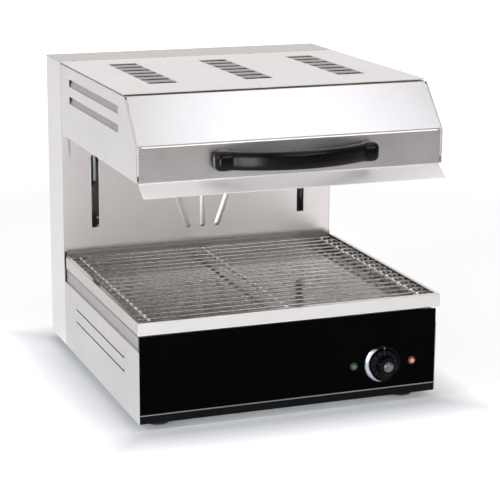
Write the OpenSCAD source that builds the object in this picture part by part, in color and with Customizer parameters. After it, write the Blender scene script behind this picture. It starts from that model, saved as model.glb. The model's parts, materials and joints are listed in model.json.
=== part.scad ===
// Electric cheese melter with a hood that rises and falls on a rear column.
// Millimetres. +Z is up, the front faces -Y, the counter is z = 0.
// The origin is the middle of the whole footprint, on the counter.

/* [Body] */
// Width over the side panels
body_w = 450; // [430:5:600]
// Depth from the front panel to the rear cover
body_d = 485; // [470:5:560]
// Height of the body above its underside
body_h = 450; // [440:2:500]
// Depth of the rear column
column_d = 86; // [80:1:100]
// Thickness of the folded steel sheet
sheet_t = 1.2; // [1:0.1:1.5]
// Gap between two sheets that lie close together
seam = 0.3; // [0.2:0.05:0.5]
// Width of the open joints between the hood's sheets
joint_gap = 2.2; // [0.5:0.1:3]

/* [Base] */
// Height of the front panel's top edge above the underside
panel_top = 124; // [118:1:126]
// Height of the light strip under the front panel
trim_h = 2; // [1.5:0.5:3]
// Height of the dark kick plate under the strip
kick_h = 11.4; // [9:0.1:14]
// Set-back of the kick plate from the front
kick_inset = 1; // [0.5:0.5:2]
// Thickness of the front glass
glass_t = 4; // [3:0.5:5]
// Height of the base side panels
base_side_h = 104; // [98:1:110]
// Set-back of the deck's skirt from the side panels
skirt_inset = 3; // [2:0.5:5]
// How far the deck's skirt reaches down behind the side panels
skirt_lap = 12; // [8:1:20]
// Height of the front panel's edge above the deck's shoulder
panel_rise = 1; // [0.5:0.5:2]
// Height of the deck's raised platform above its shoulder
platform_h = 4.8; // [4:0.2:6]
// Width of the deck's shoulder
shoulder_w = 10; // [8:1:16]
// Height of the floor plate's upturned side flanges
floor_flange_h = 16; // [12:1:24]
// Depth of the front carrier's foot
carrier_foot = 16; // [10:1:24]
// Length of the vent slots in the floor plate
floor_vent_l = 110; // [60:5:130]
// Width of those slots
floor_vent_w = 6; // [4:0.5:8]
// Pitch of those slots
floor_vent_pitch = 16; // [12:1:20]
// Number of those slots on each side
floor_vent_n = 6; // [3:1:8]
// Distance of those slots from the middle
floor_vent_x = 28; // [15:1:40]
// Distance from the column to the rearmost of those slots
floor_vent_y = 60; // [40:1:80]
// Distance from the column to the pressed slots in the base sides
base_louvre_rear = 68; // [40:1:100]
// Height of the opening of those slots
base_louvre_h = 4; // [3:0.5:6]
// How far their pressed lips stand out
base_louvre_out = 1.6; // [1:0.1:1.9]
// Distance from the front to those slots
base_louvre_y = 70; // [50:1:90]
// Height of the lower of those slots above the underside
base_louvre_low = 55; // [40:1:60]
// Pitch of those slots
base_louvre_pitch = 20; // [14:1:24]

/* [Feet] */
// Height of the feet
foot_h = 11; // [8:1:20]
// Diameter of the feet
foot_d = 34; // [26:1:40]
// Diameter of the feet at their top
foot_top_d = 29; // [22:1:36]
// Diameter of the feet's studs
foot_stud_d = 8; // [6:1:10]
// How far the studs reach in above the floor plate
foot_stud_l = 9; // [7:1:14]
// Distance from the feet's middles to the outer faces
foot_inset = 38; // [30:1:60]

/* [Tray] */
// How far the tray's rim stands out at the front
rim_front = 5; // [3:0.5:8]
// How far the tray's rim stands out at the sides
rim_side = 2; // [2:0.5:4]
// Width of the folded rim
rim_w = 6; // [5:0.5:9]
// Height of the rim's face
rim_h = 19.2; // [16:0.2:26]
// Gap between the deck's platform and the tray
tray_gap = 0.2; // [0.1:0.05:0.3]
// Lift of the rim's lower edge above the tray's underside
rim_lift = 0.3; // [0.2:0.1:1]
// Width of the ledges that carry the rack
ledge_w = 8; // [6:0.5:12]
// Height of the tray's rear wall above the rim
rear_wall_rise = 6; // [2:0.5:10]
// Gap between the column and the tray's rear wall
tray_rear_gap = 8; // [4:1:14]
// Distance from the column to the rear end of the side rims
rim_rear_gap = 19; // [15:1:26]

/* [Rack] */
// Diameter of the rack's cross wires
wire_d = 3; // [2.5:0.5:4]
// Diameter of the rack's bearers
bearer_d = 5; // [4:0.5:6]
// Largest pitch of the cross wires
wire_pitch = 21.5; // [16:0.5:30]
// Distance from the front of the body to the first cross wire
first_wire = 22; // [14:1:30]
// Distance from the tray's rear wall to the last cross wire
last_wire = 11; // [6:1:20]
// Depth of each weld between two wires
weld = 0.6; // [0.4:0.1:0.8]
// Gap between a wire's end and the rim
wire_end_gap = 2; // [1:0.5:4]
// Distance of the outer bearers from the ledges
bearer_inset = 10; // [7:1:20]
// How far the rack lies below the rim's top
rack_sink = 2.2; // [1:0.2:4]
// Gap between the cross wires and the ledges
rack_gap = 0.2; // [0.1:0.05:0.3]

/* [Column] */
// How far the back panel reaches down behind the tray's rear wall
back_lap = 2.5; // [1:0.5:6]
// Depth of the folded flanges inside the column
column_flange = 15; // [12:1:20]
// Distance from the column's sides to the middles of the guide slots
slot_inset = 52; // [45:1:60]
// Width of the guide slots
slot_w = 12; // [10:0.5:16]
// Distance from the column's top to the upper ends of the guide slots
slot_top_gap = 10; // [9:1:14]
// Room left below the arms in the slots when the hood is down
slot_spare = 5; // [3:1:8]
// Width of the pressed ribs
rib_w = 9; // [6:0.5:12]
// How far the ribs stand out
rib_out = 2.2; // [1:0.1:2.4]
// Height of the ribs' lower ends above the back panel's lower edge
rib_low = 28; // [20:1:40]
// Length of the ribs along the panel
rib_l = 112; // [60:1:130]
// Distance between the ribs at their lower ends
rib_gap = 24.7; // [18:0.1:30]
// Distance of the middle rib from the middle plane
rib_x = 4; // [-10:1:10]
// Lean of the outer ribs
rib_lean = 20; // [0:1:24]
// Length of the vent slots in the rear cover
rear_vent_l = 120; // [60:1:140]
// Height of those slots
rear_vent_h = 5; // [3:0.5:8]
// Pitch of those slots
rear_vent_pitch = 14; // [12:1:20]
// Number of vent slots in each group
rear_vent_n = 6; // [3:1:8]
// Distance of the groups from the middle
rear_vent_x = 28; // [15:1:40]
// Height of the lower groups above the underside
rear_vent_low = 110; // [70:1:130]
// Distance from the top to the upper groups
rear_vent_top = 40; // [30:1:60]

/* [Lift] */
// Gap left between the hood's lip and the tray's rim when the hood is down
closed_gap = 44.4; // [40:0.2:80]
// Diameter of the guide rods
guide_d = 12; // [10:1:14]
// Distance from the guide slots to the guide rods
guide_gap = 43; // [36:1:50]
// Radial clearance of the guide rods in their bushings
guide_fit = 0.05; // [0.02:0.01:0.1]
// Wall of the bushings
bushing_wall = 3; // [2:0.5:4]
// Length of the bushings
bushing_l = 22; // [16:1:30]
// Wall of the bushing housings
housing_wall = 4; // [3:0.5:5]
// Thickness of the lift's plates
plate_t = 4; // [3:0.5:5]
// Height of the lower rod bracket
bracket_h = 30; // [24:1:36]
// Distance of the bracket's ends from the guide rods
bracket_end = 21; // [16:1:26]
// Gap between the upper rod bracket and the column's top
bracket_gap = 4; // [3:0.5:5]
// Height of the upper rod bracket's ends
bracket_flange_h = 24; // [16:1:30]
// Height of the stop buffers
buffer_h = 16; // [10:1:20]
// Wall of the stop buffers
buffer_wall = 6; // [4:0.5:8]
// Gap left above the stop buffers when the hood is down
buffer_gap = 0.5; // [0.3:0.1:1]
// Distance from the guide rods to the gas springs
gas_gap = 64; // [55:1:70]
// Outside diameter of the gas springs
gas_d = 22; // [20:1:24]
// Wall of the gas springs
gas_wall = 1.6; // [1.2:0.1:2]
// Height of the gas springs' end caps
gas_cap = 6; // [4:0.5:8]
// Height of the gas springs' pistons
piston_h = 8; // [6:0.5:10]
// Room left at either end of the pistons' stroke
stroke_spare = 4; // [3:0.5:6]
// Diameter of the gas springs' rods
gas_rod_d = 8; // [7:0.5:10]
// Radial clearance of the rods and pistons in the gas springs
gas_fit = 0.1; // [0.05:0.01:0.1]
// Depth of the gas springs' upper lugs below the carriage's top
gas_lug_drop = 26; // [20:1:30]
// Half width of those lugs
gas_lug_x = 14; // [12:0.5:18]
// Length of the gas springs' end threads
gas_thread_l = 8; // [7:0.5:12]
// Thickness of the nuts on those threads
gas_nut_h = 4; // [3:0.5:5]
// Thickness of the hood's arms
arm_t = 4; // [3:0.5:5]
// How far the arms reach below the hood's sides
arm_drop = 16.4; // [14:0.2:18]
// Gap between the arms' top and the upper ends of the guide slots
arm_top_gap = 4; // [3:0.5:5]
// Depth of the carriage's ends below the arms' lower edge
carriage_lift = 4; // [2:0.5:6]
// How far the arms' tails hang below their lower edge
arm_tail = 72; // [40:1:76]
// Cut-off of the tails' lower front corner
arm_chamfer = 11; // [6:0.5:14]
// Gap between the back panel and the arms' tails
tail_gap = 2; // [1.5:0.5:3]
// Width of the arms' bolting flanges
arm_flange_w = 26; // [20:1:30]
// Thickness of the arms' bolting flanges
arm_flange_t = 2.5; // [2:0.5:3]
// How far the carriage's side plates reach back
side_plate_l = 14; // [12:1:18]
// Height of the lower bolts above the arms' lower edge
bolt_low = 30; // [24:1:36]
// Depth of the upper bolts below the arms' top
bolt_high = 16; // [10:1:20]

/* [Hood] */
// Height of the hood's sides
hood_side_h = 111.6; // [108:0.2:116]
// Set-back of the hood's top edge from the front
hood_top_back = 57; // [40:1:80]
// Height of the hood's sloping face
slope_h = 63; // [56:1:70]
// How far the lip flares forward
lip_out = 21; // [12:1:26]
// Height of the lip
lip_h = 16.5; // [10:0.5:20]
// Height of the flange that holds the lip behind the front sheet
lip_flange_h = 9; // [6:1:12]
// How far the hood's rear wall hangs below its sides
rear_wall_drop = 36; // [20:1:40]
// Set-back of the rear wall's ends from the hood's sides
rear_wall_inset = 12; // [8:1:20]
// Gap between the hood's rear wall and the column
hood_rear_gap = 4.5; // [4:0.1:6]
// Gap between the hood's top sheet and the column
hood_seam = 1.5; // [1:0.5:3]
// Width of the folded flanges of the hood's sides
hood_flange = 12; // [8:1:16]
// Depth of the flanges behind the open joints
joint_depth = 3; // [2:0.5:4]
// Distance from the hood's sides to the middles of the outer groups of slots
group_inset = 82; // [70:1:90]
// Width of the slots in the top
top_slot_w = 42; // [30:1:60]
// Length of each slot from front to back
top_slot_l = 15; // [8:1:20]
// Pitch of the slots from front to back
top_slot_pitch = 32; // [26:1:36]
// Distance from the column to the last of those slots, at least
top_slot_rear = 54; // [40:1:90]
// Distance from the front to the first slot
top_slot_y = 136; // [100:1:150]
// Width of the notches along the rear edge
notch_w = 5; // [3:0.5:8]
// Depth of the notches
notch_l = 3; // [2:0.5:4]
// Offset of the notches from the middle
notch_x = 12; // [0:1:20]
// Distance from the column to the slots in the hood's sides
side_slot_rear = 54; // [40:1:90]
// Height of those slots
side_slot_h = 11; // [6:0.5:14]
// Distance from the front to those slots
side_slot_y = 84; // [70:1:100]
// Distance from the top to the upper slot
side_slot_top = 20; // [16:1:24]
// Pitch of those slots
side_slot_pitch = 26; // [22:1:28]

/* [Heating] */
// Gap between the reflector's walls and the hood's sides and front
reflector_gap = 12; // [10:1:20]
// Distance from the column to the reflector's rear wall
reflector_rear = 42; // [38:1:60]
// Height of the reflector's roof above the hood's lower edge
reflector_h = 34.6; // [32:0.2:38]
// Thickness of the insulation over the reflector
blanket_t = 20; // [10:1:30]
// Gap between the insulation's edges and the heat shield
blanket_gap = 1; // [0.5:0.5:3]
// Gap between the heat shield and the hood's skin
shield_gap = 13; // [10:1:16]
// Diameter of the heating elements
element_d = 8; // [6:0.5:9]
// Depth of the elements' middle below the reflector's roof
element_drop = 20; // [17:1:22]
// Passes of each element
element_n = 6; // [2:2:6]
// Distance from the outer passes to the reflector's sides
element_side = 24.8; // [18:0.2:30]
// Gap between the elements' bends and the reflector's front wall
element_front_gap = 22; // [15:1:40]
// Radial clearance of the elements in their supports
element_fit = 0.3; // [0.2:0.05:0.5]
// Depth of the supports below the elements' middle
support_below = 8; // [7:0.5:10]
// Distance from the supports' ends to the outer passes
support_end = 12; // [8:1:14]
// How far the sheaths reach out behind the reflector
sheath_out = 6; // [4:0.5:8]
// Diameter of the elements' terminal pins
pin_d = 4; // [3:0.5:5]
// Length of those pins
pin_l = 14; // [8:1:18]

/* [Handle] */
// Overall width of the handle
handle_w = 240; // [160:1:300]
// Height of the handle
handle_h = 28; // [22:1:34]
// How far the handle stands out from the hood
handle_reach = 46; // [36:1:60]
// Thickness of the bow
bow_t = 13; // [11:0.5:18]
// Rise of the bow between its ends and its middle
bow_rise = 30; // [16:1:34]
// Set-back of the bow from the top and the bottom of the handle's ends
bow_inset = 1; // [0.5:0.25:3]
// Rounding of the bow's edges
bow_round = 5; // [3:0.5:5.4]
// Width of the handle's ends
lug_w = 26; // [20:1:34]
// Rounding of the corners of the handle's ends
lug_round = 7; // [4:0.5:9]
// Height of the handle's lower edge above the hood's lower edge
handle_rise = 11.6; // [6:0.2:16]
// Depth of the handle's screw holes
handle_screw_l = 14; // [10:1:18]

/* [Controls] */
// Distance from the right side panel to the knob
knob_inset = 84; // [78:1:100]
// Height of the knob and the lamps above the underside
knob_z = 50; // [44:1:60]
// Diameter of the knob's skirt
knob_d = 42; // [34:1:44]
// Diameter of the knob's grip
grip_d = 27; // [20:1:30]
// How far the knob stands out from the glass
knob_out = 22; // [18:1:28]
// Thickness of the knob's skirt
knob_skirt = 5; // [4:0.5:8]
// Rounding of the knob's edges
knob_edge = 2; // [1:0.5:2.5]
// Gap between the knob and the glass
knob_gap = 1; // [0.6:0.1:1.5]
// Depth of the knob's front wall in front of the shaft
knob_front_wall = 6; // [4:0.5:8]
// Diameter of the metal cap on the knob
cap_d = 15; // [10:0.5:18]
// Thickness of that cap
cap_t = 2; // [1.5:0.5:3]
// Diameter of the metal ring round the knob
bezel_d = 58; // [54:1:62]
// Width of that ring
bezel_w = 7; // [4:0.5:7]
// How far the ring stands out
bezel_out = 5; // [3:0.5:7]
// Diameter of the thermostat's shaft
shaft_d = 6; // [5:0.5:8]
// Wall of the bush round the shaft
bush_wall = 2; // [1.5:0.5:3]
// Radial clearance of the shaft in the thermostat
shaft_fit = 0.08; // [0.04:0.01:0.1]
// Depth of the shaft in the thermostat
shaft_in = 9; // [6:0.5:12]
// Width and height of the thermostat
thermostat_w = 44; // [36:1:50]
// Depth of the thermostat
thermostat_l = 32; // [24:1:40]
// Distance of the lamps from the knob
lamp_dx = 45.5; // [38:0.5:50]
// Diameter of the lamps' lenses
lamp_d = 10; // [8:0.5:12]
// Width of the lenses' flanges
lens_flange = 1; // [0.5:0.5:2]
// How far the lenses' domes stand out
lens_out = 2.5; // [2:0.5:4]
// Depth of the lamp holders
lamp_l = 24; // [16:1:30]
// Wall of the lamp holders round the lens
lamp_wall = 2; // [1.5:0.5:3]

/* [Supply] */
// Diameter of the supply cable that the gland takes
cable_d = 9; // [7:0.5:10]
// Diameter of the gland's thread
gland_d = 16; // [15:1:20]
// How far the gland stands out at the rear
gland_reach = 20; // [14:1:26]
// How far the gland's thread reaches in behind the cover
gland_in = 12; // [10:1:16]
// Thickness of the gland's nuts
gland_nut_h = 5; // [4:0.5:7]
// Distance from the right side panel to the gland
gland_inset = 75; // [60:1:100]
// Height of the gland above the underside
gland_z = 36; // [30:1:50]
// Length of the terminal block
block_l = 62; // [50:1:80]
// Number of the terminal block's poles
block_poles = 4; // [3:1:5]
// Diameter of the holes over the poles' screws
pole_d = 6; // [4:0.5:7]
// Depth of the terminal block
block_w = 22; // [18:1:26]
// Height of the terminal block
block_h = 24; // [18:1:28]

/* [Fasteners] */
// Diameter of the lift's bolts and the handle's screws
bolt_d = 5; // [4:0.5:6]
// Height of the bolts' heads and nuts
bolt_head_h = 3; // [2.5:0.5:4]
// Diameter of the cover's screws
screw_d = 4; // [3:0.5:5]
// Height of the cover screws' heads
screw_head_h = 2; // [1.5:0.5:3]
// How far the cover's screws reach in behind the cover
screw_l = 4; // [3:1:8]
// Distance of the cover's screws from its edges
screw_inset = 7; // [6:0.5:9]
// Radial clearance of holes round bolts, screws, lamps and bushes
hole_fit = 0.2; // [0.1:0.05:0.3]

/* [Hidden] */
$fn = 48;

// Colours
steel = "gainsboro";
bright_steel = "whitesmoke";
zinc = "silver";
dark = "dimgray";
black = "#18181a";

// Extra length that makes a cut run clear through a face
cut = 1;
// Head of a bolt or screw, and width of a nut, over the thread's diameter
head_ratio = 1.7;
nut_ratio = 1.9;

// Planes of the body
underside = foot_h;
front_y = (handle_reach - body_d - gland_reach) / 2;
back_y = front_y + body_d;
column_y = back_y - column_d;
side_x = body_w / 2;
inner_x = side_x - sheet_t;
top_z = underside + body_h;
roof_z = top_z - sheet_t;
floor_z = underside + sheet_t;
cover_y = back_y - sheet_t;
flange_y = cover_y - sheet_t;
screw_core = screw_d - 2 * hole_fit;
bolt_head_d = bolt_d * head_ratio;
bolt_hole_d = bolt_d + hole_fit;

// Base
side_top = underside + base_side_h;
trim_low = underside + kick_h;
glass_low = trim_low + trim_h;
glass_top = underside + panel_top;
glass_x = inner_x - seam;
carrier_y = front_y + glass_t;
deck_y = carrier_y + sheet_t;
deck_x = side_x - skirt_inset;
base_louvre_l = column_y - base_louvre_rear - front_y - base_louvre_y;
shoulder_z = glass_top - panel_rise;
platform_z = shoulder_z + platform_h;
platform_x = deck_x - shoulder_w;
kick_y = front_y + kick_inset;
floor_front = kick_y + sheet_t;

// Tray and rack
tray_z = platform_z + tray_gap;
tray_front = front_y - rim_front;
tray_back = column_y - tray_rear_gap;
rim_rear = column_y - rim_rear_gap;
rim_x = side_x + rim_side;
rim_low = tray_z + rim_lift;
rim_top = rim_low + rim_h;
rim_inner_x = rim_x - rim_w;
rim_inner_y = tray_front + rim_w;
rim_hollow = rim_x - sheet_t;
ledge_x = rim_inner_x - ledge_w;
ledge_z = rim_top - wire_d - rack_sink;
pan_top = rim_top + rear_wall_rise;
wire_z = ledge_z + rack_gap + wire_d / 2;
wire_x = rim_inner_x - wire_end_gap;
bearer_z = wire_z - wire_d / 2 - bearer_d / 2 + weld;
bearer_x = ledge_x - bearer_inset;
rack_front = front_y + first_wire;
rack_back = tray_back - last_wire;
wire_n = ceil((rack_back - rack_front) / wire_pitch);
wire_step = (rack_back - rack_front) / wire_n;

// Hood
hood_bottom = top_z - hood_side_h;
slope_z = top_z - slope_h;
top_front = front_y + hood_top_back;
groove_z = roof_z - joint_gap;
sheet_rear = column_y - hood_seam;
wall_y = column_y - hood_rear_gap;
wall_front = wall_y - sheet_t;
wall_low = hood_bottom - rear_wall_drop;
wall_x = side_x - rear_wall_inset;
skin_x = inner_x - joint_gap;
lining_y = front_y + 2 * sheet_t + seam;
flange_z = hood_bottom + sheet_t;
reflector_x = inner_x - reflector_gap;
reflector_front = front_y + sheet_t + reflector_gap;
reflector_back = column_y - reflector_rear;
reflector_roof = hood_bottom + reflector_h;
shield_x = min(inner_x - shield_gap, reflector_x);
shield_front = top_front + shield_gap;
shield_top = roof_z - shield_gap;
element_level = reflector_roof - element_drop;
element_pitch = (reflector_x - element_side) / (element_n - 1 / 2);
element_front = reflector_front + element_front_gap + element_pitch / 2;
element_rear = reflector_back - element_front_gap - element_pitch / 2;
element_hole_d = element_d + 2 * element_fit;
top_group_pitch = side_x - group_inset;
first_slot = front_y + top_slot_y;
top_slot_n = 1 + floor((column_y - top_slot_rear - top_slot_l - first_slot) / top_slot_pitch);
side_slot_l = column_y - side_slot_rear - front_y - side_slot_y;

// Outline of the hood's side from the rear of its top to the foot of its front, as (Y, Z)
side_outline = [
    [sheet_rear, groove_z],
    [slope_y(groove_z), groove_z],
    [front_y, slope_z],
    [front_y, hood_bottom],
    [sheet_rear, hood_bottom]
];

// Column and lift
travel = hood_bottom - lip_h - rim_top - closed_gap;
back_low = pan_top - back_lap;
arm_bottom = hood_bottom - arm_drop;
slot_x = side_x - slot_inset;
slot_top = top_z - slot_top_gap;
slot_bottom = arm_bottom - travel - slot_spare;
arm_top = slot_top - arm_top_gap;
guide_x = slot_x - guide_gap;
gas_x = guide_x - gas_gap;
rod_y = column_y + column_d / 2;
bracket_top = floor_z + bracket_h;
bracket_y = column_d / 2 - column_flange;
upper_bracket = roof_z - bracket_gap;
housing_r = guide_d / 2 + bushing_wall + housing_wall;
lift_low = arm_bottom + carriage_lift;
lift_high = arm_top;
plate_y = rod_y - housing_r - plate_t + cut;
plate_back = plate_y + plate_t;
arm_inner = slot_x - arm_t / 2;
arm_outer = slot_x + arm_t / 2;
arm_front = column_y + sheet_t + tail_gap;
arm_back = plate_back + side_plate_l;
bolt_heights = [arm_bottom + bolt_low, arm_top - bolt_high];
flange_bolt_x = arm_inner - arm_flange_w / 2;
side_bolt_y = (plate_back + arm_back) / 2;

// Gas springs
gas_low = bracket_top;
gas_l = travel + 2 * gas_cap + piston_h + 2 * stroke_spare;
gas_high = gas_low + gas_l;
gas_bore = gas_d - 2 * gas_wall;
gas_lug = arm_top - gas_lug_drop;
gas_nut_d = gas_rod_d * head_ratio;
piston_low = gas_high - gas_cap - piston_h - stroke_spare;

// Handle
handle_z = hood_bottom + handle_rise;
handle_mid = handle_z + handle_h / 2;
lug_x = handle_w / 2 - lug_w;
screw_x = handle_w / 2 - lug_w / 2;
bow_half = screw_x;
bow_r = (bow_half * bow_half + bow_rise * bow_rise) / (2 * bow_rise);
bow_angle = asin(bow_half / bow_r);
lug_out = handle_reach - bow_rise + bow_t / 2;

// Controls and supply
knob_x = side_x - knob_inset;
control_z = underside + knob_z;
knob_back = front_y - knob_gap;
knob_front = front_y - knob_out;
shaft_front = knob_front + knob_front_wall;
bush_d = shaft_d + 2 * bush_wall;
lamp_hole_d = lamp_d + 2 * hole_fit;
gland_x = side_x - gland_inset;
gland_hex_d = gland_d * 1.5;

// --- Helpers -----------------------------------------------------------

function unit(v) = v / norm(v);
function left_of(a, b) = let (d = unit(b - a)) [-d[1], d[0]];
function reversed(p) = [for (i = [len(p) - 1:-1:0]) p[i]];

// Points of an open outline moved to its left by t, with mitred corners
function inset_path(p, t) = [
    for (i = [0:len(p) - 1])
        let (
            n1 = i == 0 ? left_of(p[0], p[1]) : left_of(p[i - 1], p[i]),
            n2 = i == len(p) - 1 ? n1 : left_of(p[i], p[i + 1])
        )
        p[i] + (n1 + n2) / (1 + n1 * n2) * t
];

// Sheet folded along an open outline of (Y, Z) points, as thick as t to the left of it
module folded_sheet(path, t, low_x, high_x) {
    along_x(low_x, high_x) polygon(concat(path, reversed(inset_path(path, t))));
}

// Box between its lowest and its highest corner
module span(low, high) {
    translate(low) cube(high - low);
}

// The child and its mirror image in the middle plane
module pair() {
    children();
    mirror([1, 0, 0]) children();
}

// Outline drawn as (Y, Z), extruded between two X positions
module along_x(low_x, high_x) {
    translate([low_x, 0, 0]) rotate([90, 0, 90]) linear_extrude(high_x - low_x) children();
}

// Cylinder that runs along +Y from a point
module bar_y(at, d, l) {
    translate(at) rotate([-90, 0, 0]) cylinder(d = d, h = l);
}

// Cylinder that runs along +X from a point
module bar_x(at, d, l) {
    translate(at) rotate([0, 90, 0]) cylinder(d = d, h = l);
}

// Cylinder that runs up from a point
module bar_z(at, d, l) {
    translate(at) cylinder(d = d, h = l);
}

// Solid turned about the knob's axis, drawn as (radius, distance out of the plane y = at_y)
module turned_knob(at_y) {
    translate([knob_x, at_y, control_z]) rotate([90, 0, 0]) rotate_extrude() children();
}

// Rectangle from the origin with four round corners
module rounded_bar(w, h, r) {
    translate([r, 0]) square([w - 2 * r, h]);
    translate([0, r]) square([w, h - 2 * r]);
    for (x = [r, w - r])
        for (y = [r, h - r]) translate([x, y]) circle(r = r);
}

// --- Base --------------------------------------------------------------

module foot_places() {
    for (y = [front_y + foot_inset, back_y - foot_inset])
        for (x = [-side_x + foot_inset, side_x - foot_inset]) translate([x, y, 0]) children();
}

module base_floor() {
    flange_top = underside + floor_flange_h;
    color(zinc) difference() {
        union() {
            span([-inner_x, floor_front, underside], [inner_x, cover_y, floor_z]);
            pair() span([inner_x - sheet_t, deck_y, underside], [inner_x, cover_y, flange_top]);
        }
        foot_places() bar_z([0, 0, underside - cut], foot_stud_d + 2 * hole_fit, sheet_t + 2 * cut);
        for (i = [0:floor_vent_n - 1])
            translate([0, column_y - floor_vent_y - i * floor_vent_pitch, underside - cut])
                pair() span(
                    [floor_vent_x, 0, 0],
                    [floor_vent_x + floor_vent_l, floor_vent_w, sheet_t + 2 * cut]
                );
    }
}

module base_side() {
    rear = column_y - seam;
    color(steel) difference() {
        union() {
            span([-side_x, front_y, underside], [-inner_x, rear, side_top]);
            span([-side_x, deck_y, side_top - sheet_t], [-deck_x, rear, side_top]);
            base_louvres() base_louvre_lip();
        }
        base_louvres() span([-side_x - cut, 0, 0], [-inner_x + cut, base_louvre_l, base_louvre_h]);
    }
}

module base_louvres() {
    for (i = [0, 1])
        translate([0, front_y + base_louvre_y, underside + base_louvre_low + i * base_louvre_pitch])
            children();
}

// Pressed lip above a slot, with its top in the panel and its lower edge standing out
module base_louvre_lip() {
    out_x = -side_x - base_louvre_out;
    translate([0, base_louvre_l, 0]) rotate([90, 0, 0]) linear_extrude(base_louvre_l)
        polygon([
            [-side_x, base_louvre_h],
            [out_x, base_louvre_h],
            [out_x, base_louvre_h + sheet_t / 2],
            [-side_x, 3 * base_louvre_h]
        ]);
}

// Holes through the front for the shaft's bush and the two lamps
module control_holes() {
    depth = glass_t + sheet_t + 2 * cut;
    bar_y([knob_x, front_y - cut, control_z], bush_d + 2 * hole_fit, depth);
    for (s = [-1, 1]) bar_y([knob_x + s * lamp_dx, front_y - cut, control_z], lamp_hole_d, depth);
}

module front_carrier() {
    foot_x = inner_x - sheet_t;
    color(zinc) difference() {
        union() {
            span([-inner_x, carrier_y, floor_z], [inner_x, deck_y, shoulder_z]);
            span([-foot_x, carrier_y, floor_z], [foot_x, deck_y + carrier_foot, floor_z + sheet_t]);
        }
        control_holes();
    }
}

module front_glass() {
    color(black) difference() {
        span([-glass_x, front_y, glass_low], [glass_x, carrier_y, glass_top]);
        control_holes();
    }
}

module front_trim() {
    color(bright_steel) span([-glass_x, front_y, trim_low], [glass_x, carrier_y, glass_low]);
}

module kick_plate() {
    color(black) {
        span([-glass_x, kick_y, underside], [glass_x, floor_front, trim_low]);
        span([-glass_x, kick_y, trim_low - sheet_t], [glass_x, carrier_y, trim_low]);
    }
}

module base_deck() {
    skirt_z = side_top - skirt_lap;
    platform_front = deck_y + shoulder_w;
    platform_back = column_y - shoulder_w;
    color(steel) difference() {
        union() {
            span([-deck_x, deck_y, skirt_z], [deck_x, column_y, shoulder_z]);
            span([-platform_x, platform_front, skirt_z], [platform_x, platform_back, platform_z]);
        }
        span(
            [-deck_x + sheet_t, deck_y + sheet_t, skirt_z - cut],
            [deck_x - sheet_t, column_y - sheet_t, shoulder_z - sheet_t]
        );
        span(
            [-platform_x + sheet_t, platform_front + sheet_t, skirt_z - cut],
            [platform_x - sheet_t, platform_back - sheet_t, platform_z - sheet_t]
        );
    }
}

module foot(sx, sy) {
    y = sy < 0 ? front_y + foot_inset : back_y - foot_inset;
    color(black) translate([sx * (side_x - foot_inset), y, 0]) {
        cylinder(d1 = foot_d, d2 = foot_top_d, h = foot_h);
        bar_z([0, 0, foot_h - cut], foot_stud_d, cut + sheet_t + foot_stud_l);
    }
}

module foot_nuts() {
    nut_d = foot_stud_d * nut_ratio;
    nut_h = foot_stud_l * 2 / 3;
    color(zinc) foot_places() difference() {
        translate([0, 0, floor_z]) cylinder(d = nut_d, h = nut_h, $fn = 6);
        bar_z([0, 0, underside], foot_stud_d + hole_fit, foot_stud_l + 2 * sheet_t);
    }
}

// --- Tray and rack -----------------------------------------------------

module drip_tray() {
    pan_x = ledge_x + sheet_t;
    ledge_wall = rim_inner_x + sheet_t;
    pan_front = rim_inner_y - sheet_t;
    inner_back = tray_back - sheet_t;
    color(bright_steel) difference() {
        union() {
            span([-rim_x, tray_front, rim_low], [rim_x, rim_rear, rim_top]);
            span([-ledge_wall, pan_front, ledge_z - sheet_t], [ledge_wall, tray_back, rim_top]);
            span([-pan_x, pan_front, tray_z], [pan_x, tray_back, rim_top]);
            span([-ledge_wall, inner_back, ledge_z - sheet_t], [ledge_wall, tray_back, pan_top]);
        }
        // inside of the pan, and the wider space above its ledges
        span([-ledge_x, rim_inner_y, tray_z + sheet_t], [ledge_x, inner_back, pan_top + cut]);
        span([-rim_inner_x, rim_inner_y, ledge_z], [rim_inner_x, inner_back, pan_top + cut]);
        // hollow of the folded rim, open below
        span(
            [-rim_hollow, tray_front + sheet_t, rim_low - cut],
            [rim_hollow, pan_front, rim_top - sheet_t]
        );
        pair() {
            span(
                [ledge_wall, pan_front - cut, rim_low - cut],
                [rim_hollow, rim_rear - sheet_t, rim_top - sheet_t]
            );
            span(
                [pan_x, pan_front - cut, rim_low - cut],
                [rim_hollow, rim_rear - sheet_t, ledge_z - sheet_t]
            );
        }
    }
}

module wire_rack() {
    bearer_front = rim_inner_y + wire_end_gap;
    bearer_back = tray_back - sheet_t - wire_end_gap;
    color(bright_steel) {
        for (i = [0:wire_n]) bar_x([-wire_x, rack_front + i * wire_step, wire_z], wire_d, 2 * wire_x);
        for (s = [-1:1])
            bar_y([s * bearer_x, bearer_front, bearer_z], bearer_d, bearer_back - bearer_front);
    }
}

// --- Column ------------------------------------------------------------

module column_side() {
    flange_low = underside + floor_flange_h + seam;
    color(steel) difference() {
        union() {
            span([-side_x, column_y, underside], [-inner_x, back_y, roof_z]);
            span([-inner_x - sheet_t / 2, flange_y, flange_low], [-inner_x + column_flange, cover_y, roof_z]);
        }
        cover_screw_holes();
    }
}

module column_top() {
    flange_x = inner_x - column_flange;
    flange_low = roof_z - column_flange;
    color(steel) difference() {
        union() {
            span([-side_x, column_y, roof_z], [side_x, back_y, top_z]);
            span([-flange_x, flange_y, flange_low], [flange_x, cover_y, roof_z + sheet_t / 2]);
        }
        cover_screw_holes();
    }
}

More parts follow.
